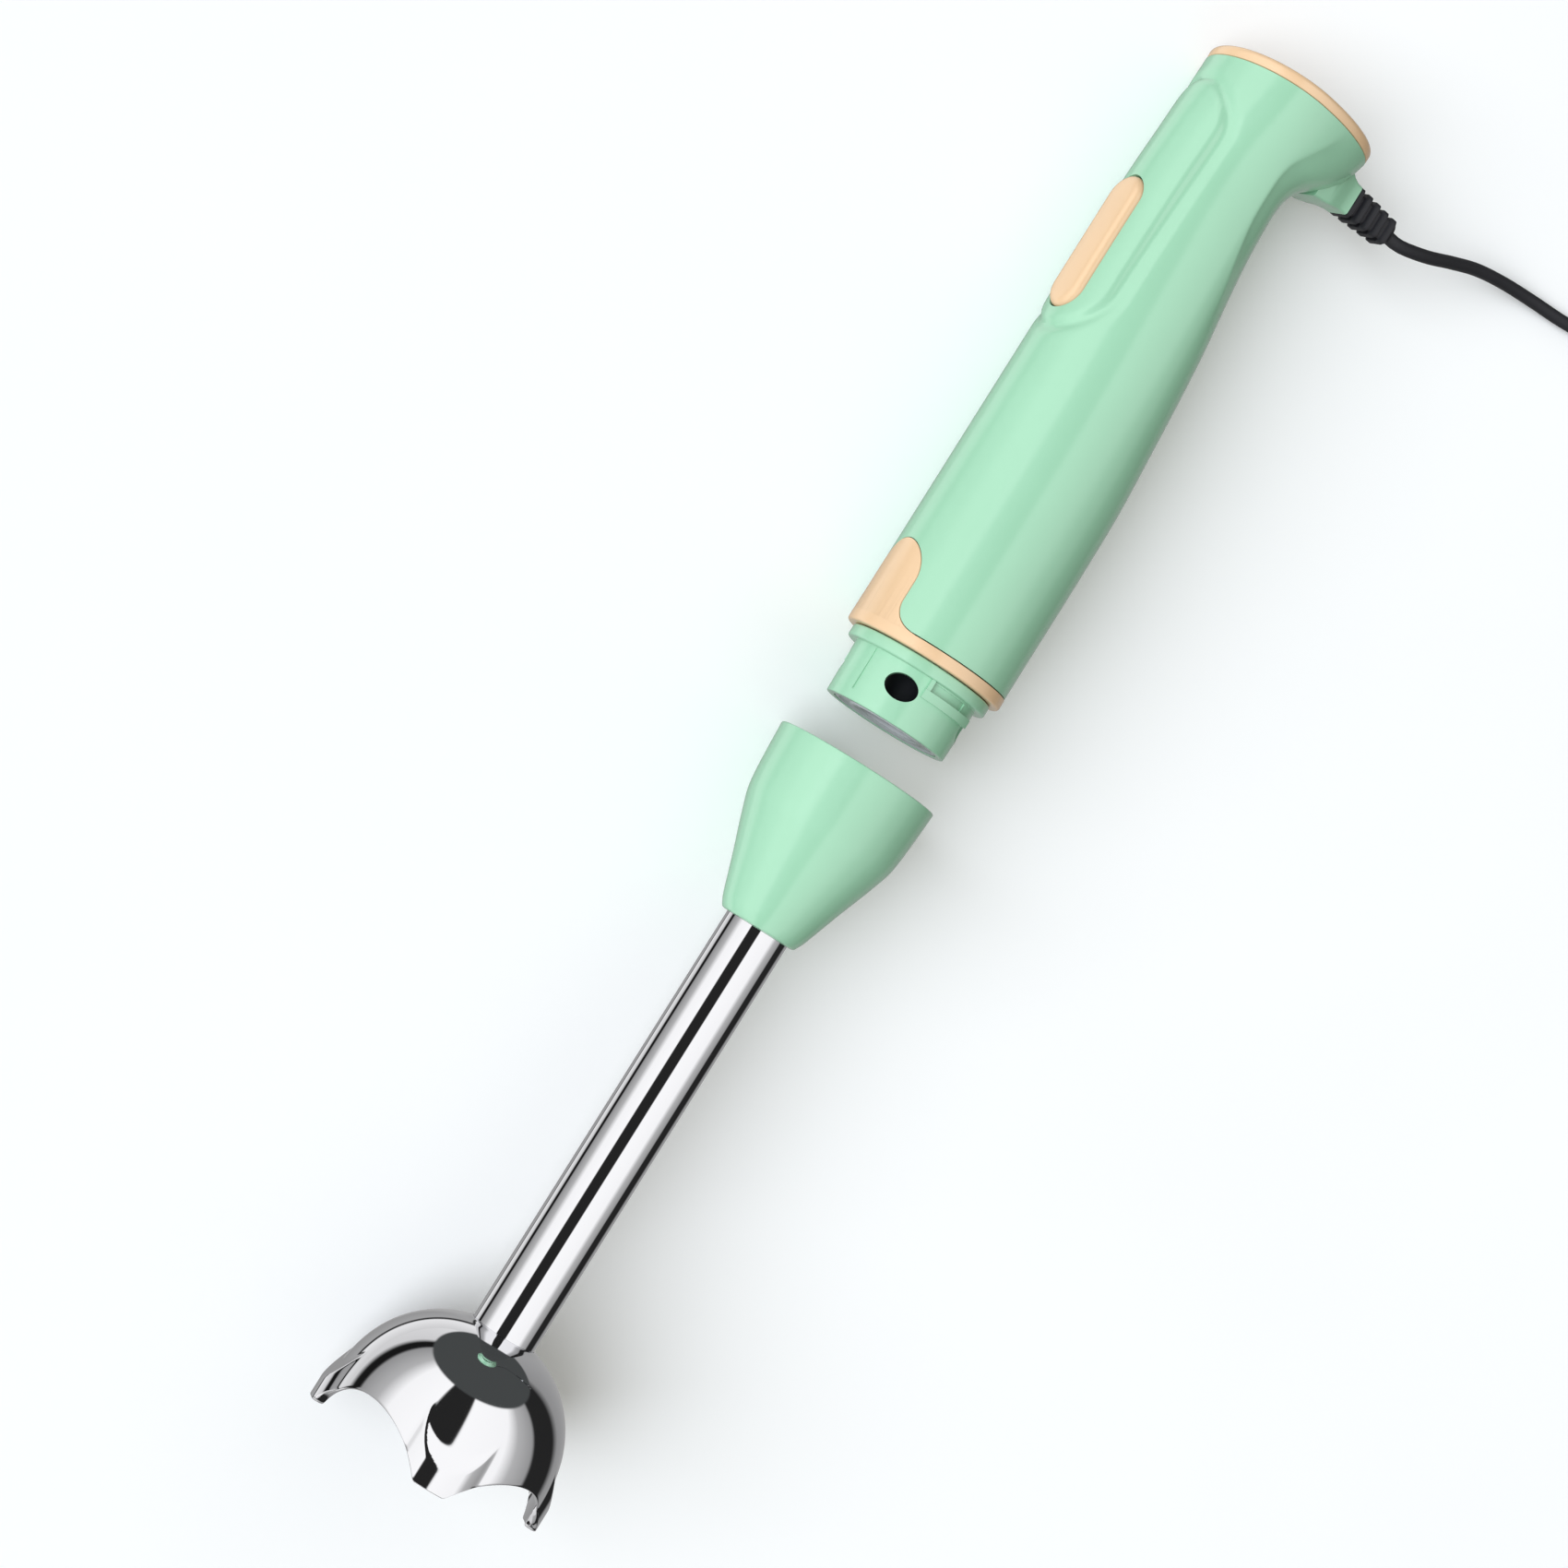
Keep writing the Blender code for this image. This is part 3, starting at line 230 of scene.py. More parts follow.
LOOKS = {
    "mint_plastic": plastic("mint_plastic", (0.31, 0.575, 0.39), 0.19),
    "peach_plastic": plastic("peach_plastic", (0.74, 0.50, 0.295), 0.22),
    "grey_plastic": plastic("grey_plastic", (0.50, 0.51, 0.53), 0.45),
    "black_rubber": rubber("black_rubber", (0.013, 0.013, 0.016)),
    "white_plastic": plastic("white_plastic", (0.78, 0.78, 0.75), 0.4),
    "chrome": polished("chrome", (0.86, 0.86, 0.88), 0.035),
    "brushed_steel": machined("brushed_steel", (0.62, 0.62, 0.63), 0.24),
    "magnet_iron": machined("magnet_iron", (0.10, 0.10, 0.11), 0.5),
    "copper_wire": wound_wire("copper_wire", (0.72, 0.33, 0.14)),
    "bronze": machined("bronze", (0.58, 0.40, 0.20), 0.4),
    "circuit_board": plastic("circuit_board", (0.02, 0.16, 0.06), 0.35, 0.3),
    "carbon": rubber("carbon", (0.03, 0.03, 0.03), 0.7),
}


# Mesh helpers. Points are in the tool's frame.


def mesh_from(build, sharp=35):
    bm = bmesh.new()
    build(bm)
    bmesh.ops.recalc_face_normals(bm, faces=bm.faces)
    mesh = bpy.data.meshes.new("shape")
    bm.to_mesh(mesh)
    bm.free()
    mesh.shade_smooth()
    mesh.set_sharp_from_angle(angle=radians(sharp))
    return mesh


def skin(rings, closed=False, sharp=35):
    """A skin over rings of equal length; its ends are capped, or joined to each other if closed."""

    def build(bm):
        rows = [[bm.verts.new(p) for p in ring] for ring in rings]
        pairs = list(zip(rows, rows[1:]))
        if closed:
            pairs.append((rows[-1], rows[0]))
        for low, high in pairs:
            for i in range(len(low)):
                j = (i + 1) % len(low)
                bm.faces.new((low[i], low[j], high[j], high[i]))
        if not closed:
            bm.faces.new(rows[0])
            bm.faces.new(rows[-1])

    return mesh_from(build, sharp)


def circle(radius, height, count):
    """A ring of points around the axis."""
    turns = [2 * pi * i / count for i in range(count)]
    return [(radius * cos(a), radius * sin(a), height) for a in turns]


def turned(outline, segments=160, closed=True):
    """An outline of (radius, height) points turned about the axis. Radii stay above zero.

    A closed outline makes a ring, and an open one makes a solid with flat ends."""
    return skin([circle(r, z, segments) for r, z in outline], closed)


def rounded(outline, radius, steps=4, closed=True):
    """The outline with its corners rounded; radius is one value, or one for each point."""
    count = len(outline)
    radii = radius if isinstance(radius, (list, tuple)) else [radius] * count
    made = []
    for i, (point, r) in enumerate(zip(outline, radii)):
        here = Vector(point)
        if r <= 0 or (not closed and i in (0, count - 1)):
            made.append(tuple(here))
            continue
        before = Vector(outline[i - 1]) - here
        after = Vector(outline[(i + 1) % count]) - here
        cut = min(r, before.length * 0.45, after.length * 0.45)
        start, end = here + before.normalized() * cut, here + after.normalized() * cut
        for k in range(steps + 1):
            t = k / steps
            made.append(tuple(start * (1 - t) ** 2 + here * 2 * t * (1 - t) + end * t * t))
    return made


def arc(middle, radius, start, end, steps):
    """Points on a circle, from one angle to another in degrees."""
    angles = [radians(start + (end - start) * i / steps) for i in range(steps + 1)]
    return [(middle[0] + radius * cos(a), middle[1] + radius * sin(a)) for a in angles]


def prism(outline, low, high, axis="Z"):
    """A flat outline extruded along an axis: Z takes (x, y), and X takes (y, z)."""

    def place(u, v, w):
        return (u, v, w) if axis == "Z" else (w, u, v)

    return skin([[place(u, v, w) for u, v in outline] for w in (low, high)])


def cylinder(radius, start, end, segments=64):
    start, end = Vector(start), Vector(end)
    turn = (end - start).to_track_quat("Z", "Y").to_matrix().to_4x4()

    def build(bm):
        bmesh.ops.create_cone(
            bm,
            cap_ends=True,
            segments=segments,
            radius1=radius,
            radius2=radius,
            depth=(end - start).length,
            matrix=Matrix.Translation((start + end) / 2) @ turn,
        )

    return mesh_from(build)


def bent_block(radius_low, radius_high, low, high, start, end, steps=24):
    """A block bent around the axis between two angles in degrees."""
    outline = arc((0, 0), radius_high, start, end, steps) + arc((0, 0), radius_low, end, start, steps)
    return prism(outline, low, high)


def loose(mesh, name="cutter"):
    made = bpy.data.objects.new(name, mesh)
    bpy.context.scene.collection.objects.link(made)
    return made


def combined(mesh, steps, sharp=35, bevel=0.0):
    """The mesh after Boolean steps, each (operation, other mesh), and an optional fine bevel."""
    base = loose(mesh, "base")
    others = [loose(other) for _, other in steps]
    for (operation, _), other in zip(steps, others):
        step = base.modifiers.new("step", "BOOLEAN")
        step.operation = operation
        step.object = other
    if bevel:
        edge = base.modifiers.new("edge", "BEVEL")
        edge.width = bevel
        edge.segments = 2
        edge.limit_method = "ANGLE"
        edge.angle_limit = radians(50)
        edge.use_clamp_overlap = True
    bpy.context.view_layer.update()
    graph = bpy.context.evaluated_depsgraph_get()
    made = bpy.data.meshes.new_from_object(base.evaluated_get(graph))
    for obj in [base, *others]:
        bpy.data.objects.remove(obj, do_unlink=True)
    made.shade_smooth()
    made.set_sharp_from_angle(angle=radians(sharp))
    return made


def piece(name, mesh, look, body, *nodes, place=None):
    """A visible piece that rides on a body and stands for CAD nodes."""
    made = bpy.data.objects.new(name, mesh)
    made.data.materials.clear()
    made.data.materials.append(LOOKS[look])
    made.matrix_world = TOOL if place is None else place
    bpy.context.scene.collection.objects.link(made)
    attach(made, body)
    if nodes:
        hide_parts(*nodes)
    return made


def smoothstep(low, high, value):
    t = min(1, max(0, (value - low) / (high - low)))
    return t * t * (3 - 2 * t)


# Handle.

# (height, front, back, side): half widths of the housing, each quarter a quarter ellipse.
HANDLE_SECTIONS = (
    (3.8 * MM, 24.6 * MM, 24.6 * MM, 24.6 * MM),
    (60 * MM, 24.6 * MM, 24.4 * MM, 24.6 * MM),
    (85 * MM, 24.7 * MM, 22.6 * MM, 24.2 * MM),
    (110 * MM, 24.9 * MM, 20.2 * MM, 23.4 * MM),
    (132 * MM, 25.0 * MM, 17.4 * MM, 22.4 * MM),
    (150 * MM, 24.8 * MM, 15.4 * MM, 21.6 * MM),
    (163 * MM, 24.2 * MM, 15.6 * MM, 21.4 * MM),
    (170 * MM, 23.8 * MM, 19.4 * MM, 21.8 * MM),
    (175 * MM, 23.4 * MM, 25.6 * MM, 22.5 * MM),
    (181 * MM, 23.0 * MM, 30.6 * MM, 23.3 * MM),
    (188 * MM, 22.6 * MM, 33.0 * MM, 24.0 * MM),
)
HANDLE_LOW, HANDLE_HIGH = 3.8 * MM, 188 * MM
WALL = 2.2 * MM
PANEL_LOW, PANEL_HIGH, PANEL_HALF = 98 * MM, 180 * MM, 14.6 * MM
PANEL_RISE, GROOVE_DEPTH, GROOVE_WIDTH = 0.45 * MM, 0.8 * MM, 1.6 * MM
CREASE_DEPTH = 0.75 * MM
BUTTON_HALF, BUTTON_LOW, BUTTON_HIGH = 7 * MM, 103 * MM, 146 * MM
BOSS_MIDDLE = 179.8 * MM
RING_HEIGHT = 3.5 * MM
TONGUE_TOP, TONGUE_HALF, TONGUE_FOOT = 27 * MM, 10.5 * MM, 7 * MM


def section_at(z):
    """(front, back, side) at a height, on smooth curves through the sections."""
    rows = HANDLE_SECTIONS
    i = max(k for k in range(len(rows) - 1) if rows[k][0] <= z or k == 0)
    (z0, *start), (z1, *end) = rows[i], rows[i + 1]

    def slope(k, column):
        before, after = rows[max(0, k - 1)], rows[min(len(rows) - 1, k + 1)]
        return (after[column] - before[column]) / (after[0] - before[0])

    length = z1 - z0
    t = min(1, max(0, (z - z0) / length))
    made = []
    for column, (a, b) in enumerate(zip(start, end), 1):
        m0, m1 = slope(i, column) * length, slope(i + 1, column) * length
        made.append(
            (2 * t**3 - 3 * t**2 + 1) * a
            + (t**3 - 2 * t**2 + t) * m0
            + (3 * t**2 - 2 * t**3) * b
            + (t**3 - t**2) * m1
        )
    return made


def panel_offset(y, z):
    """The oval panel around the button: slightly raised, inside a soft groove."""
    middle = min(PANEL_HIGH - PANEL_HALF, max(PANEL_LOW + PANEL_HALF, z))
    inside = PANEL_HALF - sqrt(y * y + (z - middle) ** 2)
    groove = GROOVE_DEPTH * exp(-((inside + 0.8 * MM) / GROOVE_WIDTH) ** 2)
    return PANEL_RISE * smoothstep(-0.4 * MM, 1.4 * MM, inside) - groove


def crease_offset(angle, z):
    """The soft edge where the side of the handle turns into the hollow under the head."""
    start = 96 + 14 * smoothstep(165 * MM, HANDLE_HIGH, z) + 16 * smoothstep(155 * MM, 125 * MM, z)
    behind = (abs(angle) - start) / 17
    if behind <= 0:
        return 0
    fades_in = smoothstep(112 * MM, 145 * MM, z)
    fades_out = 1 - 0.8 * smoothstep(180 * MM, HANDLE_HIGH, z)
    depth = CREASE_DEPTH * fades_in * fades_out
    return -depth * behind * exp(1 - behind) * smoothstep(180, 150, abs(angle))


def handle_point(angle, z, inset):
    """A point of the housing; the angle is in degrees from the front."""
    front, back, side = section_at(z)
    a = radians(angle)
    depth = front if cos(a) > 0 else back
    x, y = depth * cos(a), side * sin(a)
    outward = Vector((x / depth**2, y / side**2, 0)).normalized()
    offset = crease_offset(angle, z)
    if cos(a) > 0:
        offset += panel_offset(y, z)
    return Vector((x, y, z)) + outward * (offset - inset)


def pill(low, high, half, grow=0.0, steps=24):
    """A long outline with round ends, in (y, z)."""
    radius = half + grow
    return arc((0, high - half), radius, 0, 180, steps) + arc((0, low + half), radius, 180, 360, steps)


def tongue_outline(grow):
    """The tongue that rises from the trim ring, in (y, z), widening into the ring by fillets."""
    half, foot = TONGUE_HALF + grow, TONGUE_FOOT - grow
    low = RING_HEIGHT + grow
    right = arc((half + foot, low + foot), foot, 270, 180, 14)
    top = arc((0, TONGUE_TOP - TONGUE_HALF), half, 0, 180, 32)
    left = arc((-half - foot, low + foot), foot, 0, -90, 14)
    return [(half + foot, 0), *right, *top, *left, (-half - foot, 0)]


def tongue_sleeve(grow, inner, outer, high):
    """The tongue's outline wrapped on the cylinder between two radii."""
    sleeve = turned([(inner, MM), (outer, MM), (outer, high), (inner, high)], 256)
    return combined(sleeve, [("INTERSECT", prism(tongue_outline(grow), 10 * MM, 35 * MM, "X"))])


def cord_boss():
    """A square funnel from the back of the head to the strain relief."""
    face = min(p.x for p in tool_points("body_housing"))
    stations = ((-22, 9.0, 7.8), (-27, 8.4, 7.0), (-30, 7.2, 6.2), (-32.5, 5.9, 5.3), (-35, 5.0, 4.8))
    rings = []
    for x, half_width, half_height in [(x * MM, w * MM, h * MM) for x, w, h in stations] + [
        (face, 4.8 * MM, 4.7 * MM)
    ]:
        corners = [(1, 1), (-1, 1), (-1, -1), (1, -1)]
        square = rounded([(u * half_width, v * half_height) for u, v in corners], 1.1 * MM, 4)
        rings.append([(x, u, BOSS_MIDDLE + v) for u, v in square])
    return skin(rings, sharp=30)


def housing():
    low, high = HANDLE_LOW, HANDLE_HIGH
    heights = [low + (high - low) * i / 190 for i in range(191)]
    angles = [180 * (-1 + 2 * i / 200) for i in range(200)]
    outer = [[handle_point(a, z, 0) for a in angles] for z in heights]
    inner = [[handle_point(a, z, WALL) for a in angles] for z in heights[::6] + [heights[-1]]]
    lip = [[handle_point(a, high, 0.5 * MM) for a in angles]]
    shell = skin(outer + lip + inner[::-1], closed=True)
    button_hole = prism(pill(BUTTON_LOW, BUTTON_HIGH, BUTTON_HALF, GAP), 15 * MM, 32 * MM, "X")
    cord_hole = cylinder(3.8 * MM, (-40 * MM, 0, BOSS_MIDDLE), (-20 * MM, 0, BOSS_MIDDLE))
    recess = tongue_sleeve(0.25 * MM, 23.1 * MM, 30 * MM, 30 * MM)
    steps = [("UNION", cord_boss())]
    steps += [("DIFFERENCE", other) for other in (button_hole, cord_hole, recess)]
    piece("handle_shell", combined(shell, steps, 30), "mint_plastic", "motor_unit", "body_housing")


def trim_ring():
    radius = reach("lower_trim_ring")
    bore = 20 * MM
    outline = [(bore, 0), (radius, 0), (radius, RING_HEIGHT), (bore, RING_HEIGHT)]
    ring = turned(rounded(outline, [0.3 * MM, 0.9 * MM, 0.25 * MM, 0.3 * MM]), 256)
    sleeve = tongue_sleeve(0, 23.4 * MM, radius - 0.02 * MM, 29 * MM)
    mesh = combined(ring, [("UNION", sleeve)], 40)
    piece("trim_band", mesh, "peach_plastic", "motor_unit", "lower_trim_ring")


def top_cap():
    """The end cap: a rounded edge over the housing, and a slightly domed end."""
    front, back, side = section_at(HANDLE_HIGH)
    low = HANDLE_HIGH + GAP
    high = span("top_cap")[1]

    def ring(z, inset, share=1.0):
        made = []
        for i in range(200):
            a = 2 * pi * i / 200
            depth = front if cos(a) > 0 else back
            made.append(((depth - inset) * cos(a) * share, (side - inset) * sin(a) * share, z))
        return made

    edge = 1.6 * MM
    angles = [i * pi / 16 for i in range(9)]
    rounding = [(high - edge + edge * sin(a), edge * (1 - cos(a))) for a in angles]
    rings = [ring(low - 2.5 * MM, WALL + 4 * GAP), ring(low, WALL + 4 * GAP), ring(low, 0.25 * MM)]
    rings += [ring(low + 0.15 * MM, 0.08 * MM)]
    rings += [ring(z, inset) for z, inset in rounding]
    rings += [ring(high + 0.5 * MM * (1 - share**2), edge, share) for share in (0.8, 0.55, 0.3, 0.1)]
    piece("end_cap", skin(rings, sharp=50), "peach_plastic", "motor_unit", "top_cap")


def button():
    """A long crowned key, with the flange and pusher that it has behind the housing."""
    face = max(p.x for p in tool_points("power_button"))
    back = min(p.x for p in tool_points("power_button"))
    flange_back, flange_face = back + 2 * MM, back + 3.4 * MM

    def ring(x, grow):
        return [(x, y, z) for y, z in pill(BUTTON_LOW, BUTTON_HIGH, BUTTON_HALF, grow)]

    edge = 2.2 * MM
    rings = [ring(flange_back, 1.6 * MM), ring(flange_face, 1.6 * MM), ring(flange_face, -0.05 * MM)]
    for i in range(7):
        a = i * pi / 12
        rings.append(ring(face - edge * (1 - sin(a)), -0.05 * MM - edge * (1 - cos(a))))
    for inset in (3.2, 4.2, 5.4, 6.4):
        rings.append(ring(face + 0.25 * MM * (1 - ((6.6 - inset) / 4.4) ** 2), -inset * MM))
    pusher = cylinder(1.6 * MM, (back, 0, 116 * MM), (flange_back + 0.5 * MM, 0, 116 * MM), 32)
    mesh = combined(skin(rings, sharp=50), [("UNION", pusher)], 50)
    piece("button_key", mesh, "peach_plastic", "button", "power_button")


LOCK_PHASE = 55.0  # degrees from the front to the first pocket
RAIL_START, RAIL_END = 17.0, 73.0  # degrees past a pocket
BAND_RADIUS, BAND_HEIGHT = 22.2 * MM, 3.8 * MM
SPIGOT_BORE, SPIGOT_RADIUS, SPIGOT_END_RADIUS = 16.6 * MM, 19.4 * MM, 19.0 * MM
POCKET_WIDTH, POCKET_HEIGHT, POCKET_MIDDLE = 10 * MM, 7.5 * MM, -10.1 * MM


def spigot():
    """The twist lock on the handle: a band, four pockets, two rails with stop bars, and a seam."""
    low, _ = span("drive_spigot")
    outline = [
        (SPIGOT_BORE, low),
        (SPIGOT_END_RADIUS, low),
        (SPIGOT_RADIUS, -BAND_HEIGHT),
        (BAND_RADIUS, -BAND_HEIGHT),
        (BAND_RADIUS, -GAP),
        (19.7 * MM, -GAP),
        (19.7 * MM, 3.8 * MM),
        (22.1 * MM, 3.8 * MM),
        (22.1 * MM, 6.2 * MM),
        (17 * MM, 6.2 * MM),
        (17 * MM, 0),
        (4 * MM, 0),
        (4 * MM, -3.5 * MM),
        (SPIGOT_BORE, -3.5 * MM),
    ]
    radii = [0.2 * MM, 0.45 * MM, 0.2 * MM, 0.7 * MM, 0.5 * MM] + [0] * 9
    body = turned(rounded(outline, radii), 192)
    steps = []
    for pocket in (LOCK_PHASE, LOCK_PHASE + 180):
        start, end = pocket + RAIL_START, pocket + RAIL_END
        rail = bent_block(18 * MM, 20.9 * MM, -9.6 * MM, -7.0 * MM, start, end)
        stop = bent_block(17.6 * MM, 20.7 * MM, -9.2 * MM, -3.3 * MM, start + 0.5, start + 4, 4)
        groove = bent_block(18.9 * MM, 23 * MM, -6.9 * MM, -4.3 * MM, start + 6, end - 14)
        steps += [("DIFFERENCE", groove), ("UNION", rail), ("UNION", stop)]
    for i in range(4):
        pocket = LOCK_PHASE + 90 * i
        oval = [
            (u * POCKET_WIDTH / 2, POCKET_MIDDLE + v * POCKET_HEIGHT / 2)
            for u, v in arc((0, 0), 1, 0, 350, 35)
        ]
        hole = prism(oval, 12 * MM, 30 * MM, "X")
        hole.transform(Matrix.Rotation(radians(pocket), 4, "Z"))
        steps.append(("DIFFERENCE", hole))
    seam = bent_block(19.0 * MM, 19.62 * MM, low + 3.0 * MM, -4.2 * MM, 17.6, 18.0, 2)
    steps.append(("UNION", seam))
    mesh = combined(body, steps, 32)
    piece("lock_spigot", mesh, "mint_plastic", "motor_unit", "drive_spigot")


def end_plate():
    """The grey plate in the spigot's end, with a raised rim round the drive."""
    low, high = span("spigot_end_plate")
    outer = reach("spigot_end_plate")
    outline = [
        (8.5 * MM, low + 0.4 * MM),
        (9.6 * MM, low + 0.4 * MM),
        (9.9 * MM, low),
        (11.4 * MM, low),
        (11.7 * MM, low + 0.5 * MM),
        (outer - 1.5 * MM, low + 0.5 * MM),
        (outer - 1.2 * MM, low),
        (outer, low),
        (outer, high),
        (8.5 * MM, high),
    ]
    mesh = turned(rounded(outline, 0.15 * MM, 2))
    piece("drive_plate", mesh, "grey_plastic", "motor_unit", "spigot_end_plate")


def screw_mesh(shank, head, head_low, head_high, end):
    """A pan head with a cross recess, its shank up to end. The head's outer face is at head_low."""
    outline = [
        (0.05 * MM, head_low),
        (head * 0.5, head_low + 0.1 * MM),
        (head * 0.9, head_low + 0.5 * MM),
        (head, head_high - 0.5 * MM),
        (head, head_high),
        (shank, head_high),
        (shank, end - 1.2 * MM),
        (0.05 * MM, end),
    ]
    steps = []
    half_length, half_width = 1.5 * MM, 0.35 * MM
    corners = [(u * half_length, v * half_width) for u, v in ((-1, -1), (1, -1), (1, 1), (-1, 1))]
    for turn in (25, 115):
        slot = prism(corners, head_low - MM, head_low + 1.1 * MM)
        slot.transform(Matrix.Rotation(radians(turn), 4, "Z"))
        steps.append(("DIFFERENCE", slot))
    return combined(turned(outline, 48, closed=False), steps)


def spigot_screws():
    for index in (1, 2):
        name = f"spigot_screw_{index}"
        points = tool_points(name)
        low, high = span(name)
        middle = sum((p for p in points), Vector()) / len(points)
        mesh = screw_mesh(1.5 * MM, 2.9 * MM, low, -3.8 * MM, high)
        place = TOOL @ Matrix.Translation((middle.x, middle.y, 0))
        piece(f"lock_screw_{index}", mesh, "brushed_steel", "motor_unit", name, place=place)


def drive_socket():
    """The female coupling: a cup with a hexagonal socket."""
    low, high = span("drive_socket")
    outline = [
        (2.8 * MM, high - 3 * MM),
        (2.8 * MM, high),
        (3.7 * MM, high),
        (3.7 * MM, high - 2.2 * MM),
        (7.6 * MM, high - 2.2 * MM),
        (7.9 * MM, low + 0.8 * MM),
        (7.4 * MM, low),
        (2.0 * MM, low),
        (2.0 * MM, -6.6 * MM),
        (2.8 * MM, -6.6 * MM),
    ]
    radius = 5.7 * MM
    corners = [(radius * cos(radians(60 * i)), radius * sin(radians(60 * i))) for i in range(6)]
    hexagon = prism(rounded(corners, 0.5 * MM, 3), low - 2 * MM, -7.6 * MM)
    mesh = combined(turned(rounded(outline, 0.25 * MM, 3), 96), [("DIFFERENCE", hexagon)])
    piece("drive_cup", mesh, "black_rubber", "rotor", "drive_socket")


# Blending shaft.

COLLAR_OUTLINE = (
    (0, 24.8 * MM),
    (6 * MM, 24.5 * MM),
    (14 * MM, 24.0 * MM),
    (20.5 * MM, 23.3 * MM),
    (30 * MM, 20.1 * MM),
    (37 * MM, 17.5 * MM),
    (45 * MM, 14.8 * MM),
    (50 * MM, 13.1 * MM),
    (52.7 * MM, 11.6 * MM),
)


def collar():
    bottom, mouth = span("collar")
    floor = mouth - 22 * MM
    tube = reach("shaft_tube") + 0.15 * MM
    outside = [(r, mouth - depth) for depth, r in COLLAR_OUTLINE]
    inside = [
        (tube, bottom),
        (tube, mouth - 26.3 * MM),
        (14 * MM, mouth - 26.3 * MM),
        (14 * MM, floor),
        (20.2 * MM, floor),
        (21.4 * MM, floor + 1.2 * MM),
        (21.4 * MM, mouth - 3.8 * MM),
        (22.6 * MM, mouth - 3.8 * MM),
        (22.6 * MM, mouth),
    ]
    radii = [0.5, 4, 6, 3, 5, 5, 4, 3, 1.2] + [0.3, 0, 0, 0.3, 0.3, 0.3, 0.2, 0.2, 0.4]
    body = turned(rounded(outside + inside, [r * MM for r in radii], 6), 192)
    steps = []
    lug_top = mouth - 4.0 * MM
    for middle in (LOCK_PHASE, LOCK_PHASE + 180):
        lug = bent_block(19.7 * MM, 22.4 * MM, lug_top - 2.4 * MM, lug_top, middle - 8, middle + 8, 10)
        steps.append(("UNION", lug))
    piece("shaft_collar", combined(body, steps), "mint_plastic", "shaft_unit", "collar")


def tube():
    low, high = span("shaft_tube")
    outer = reach("shaft_tube")
    outline = [(outer - 0.8 * MM, low), (outer, low), (outer, high), (outer - 0.8 * MM, high)]
    mesh = turned(rounded(outline, 0.2 * MM, 3), 128)
    piece("shaft_pipe", mesh, "chrome", "shaft_unit", "shaft_tube")


BELL_HEIGHT, BELL_RADIUS, BELL_WALL, BELL_SKIRT = 42 * MM, 34 * MM, 1.2 * MM, 8 * MM
BELL_POWER = 2 / 2.15
FOOT_RADIUS, FOOT_REACH, FOOT_HEIGHT = 16 * MM, 36.6 * MM, 6.4 * MM
FOOT_SLOPE = 2.2  # rise of a foot's flat top towards the dome
LOBE_PHASE = 68.0
ARCH_RISE, ARCH_RADIUS = 12 * MM, 24 * MM


def soft_max(a, b, blend):
    """The larger of two lengths, with the corner where they cross rounded off."""
    h = max(0, blend - abs(a - b)) / blend
    return max(a, b) + h * h * blend / 4


def dome_radius(height):
    """The dome's radius at a height above the tips of its feet."""
    share = max(0, height - BELL_SKIRT) / (BELL_HEIGHT - BELL_SKIRT + 0.6 * MM)
    return BELL_RADIUS * (1 - min(1, share) ** (2 / BELL_POWER)) ** (BELL_POWER / 2)


def foot_radius(angle, height):
    """How far a foot reaches at an angle from its middle, or nothing."""
    middle = FOOT_REACH - FOOT_RADIUS
    across = middle * sin(angle)
    if abs(across) > FOOT_RADIUS or height > BELL_HEIGHT / 2:
        return 0
    side = (middle * cos(angle) + sqrt(FOOT_RADIUS**2 - across**2)) * dome_radius(height) / BELL_RADIUS
    lean = (FOOT_REACH - max(0, height - FOOT_HEIGHT) / FOOT_SLOPE) / cos(angle)
    return -soft_max(-side, -lean, 0.2 * MM)


def rim_height(angle):
    """The rim between two feet, at an angle from the middle of the arch."""
    across = BELL_RADIUS * sin(angle)
    if abs(across) >= ARCH_RADIUS:
        return 0
    rise = ARCH_RISE - ARCH_RADIUS + sqrt(ARCH_RADIUS**2 - across**2)
    return max(0, soft_max(rise, 0, 1.2 * MM) - 0.3 * MM)


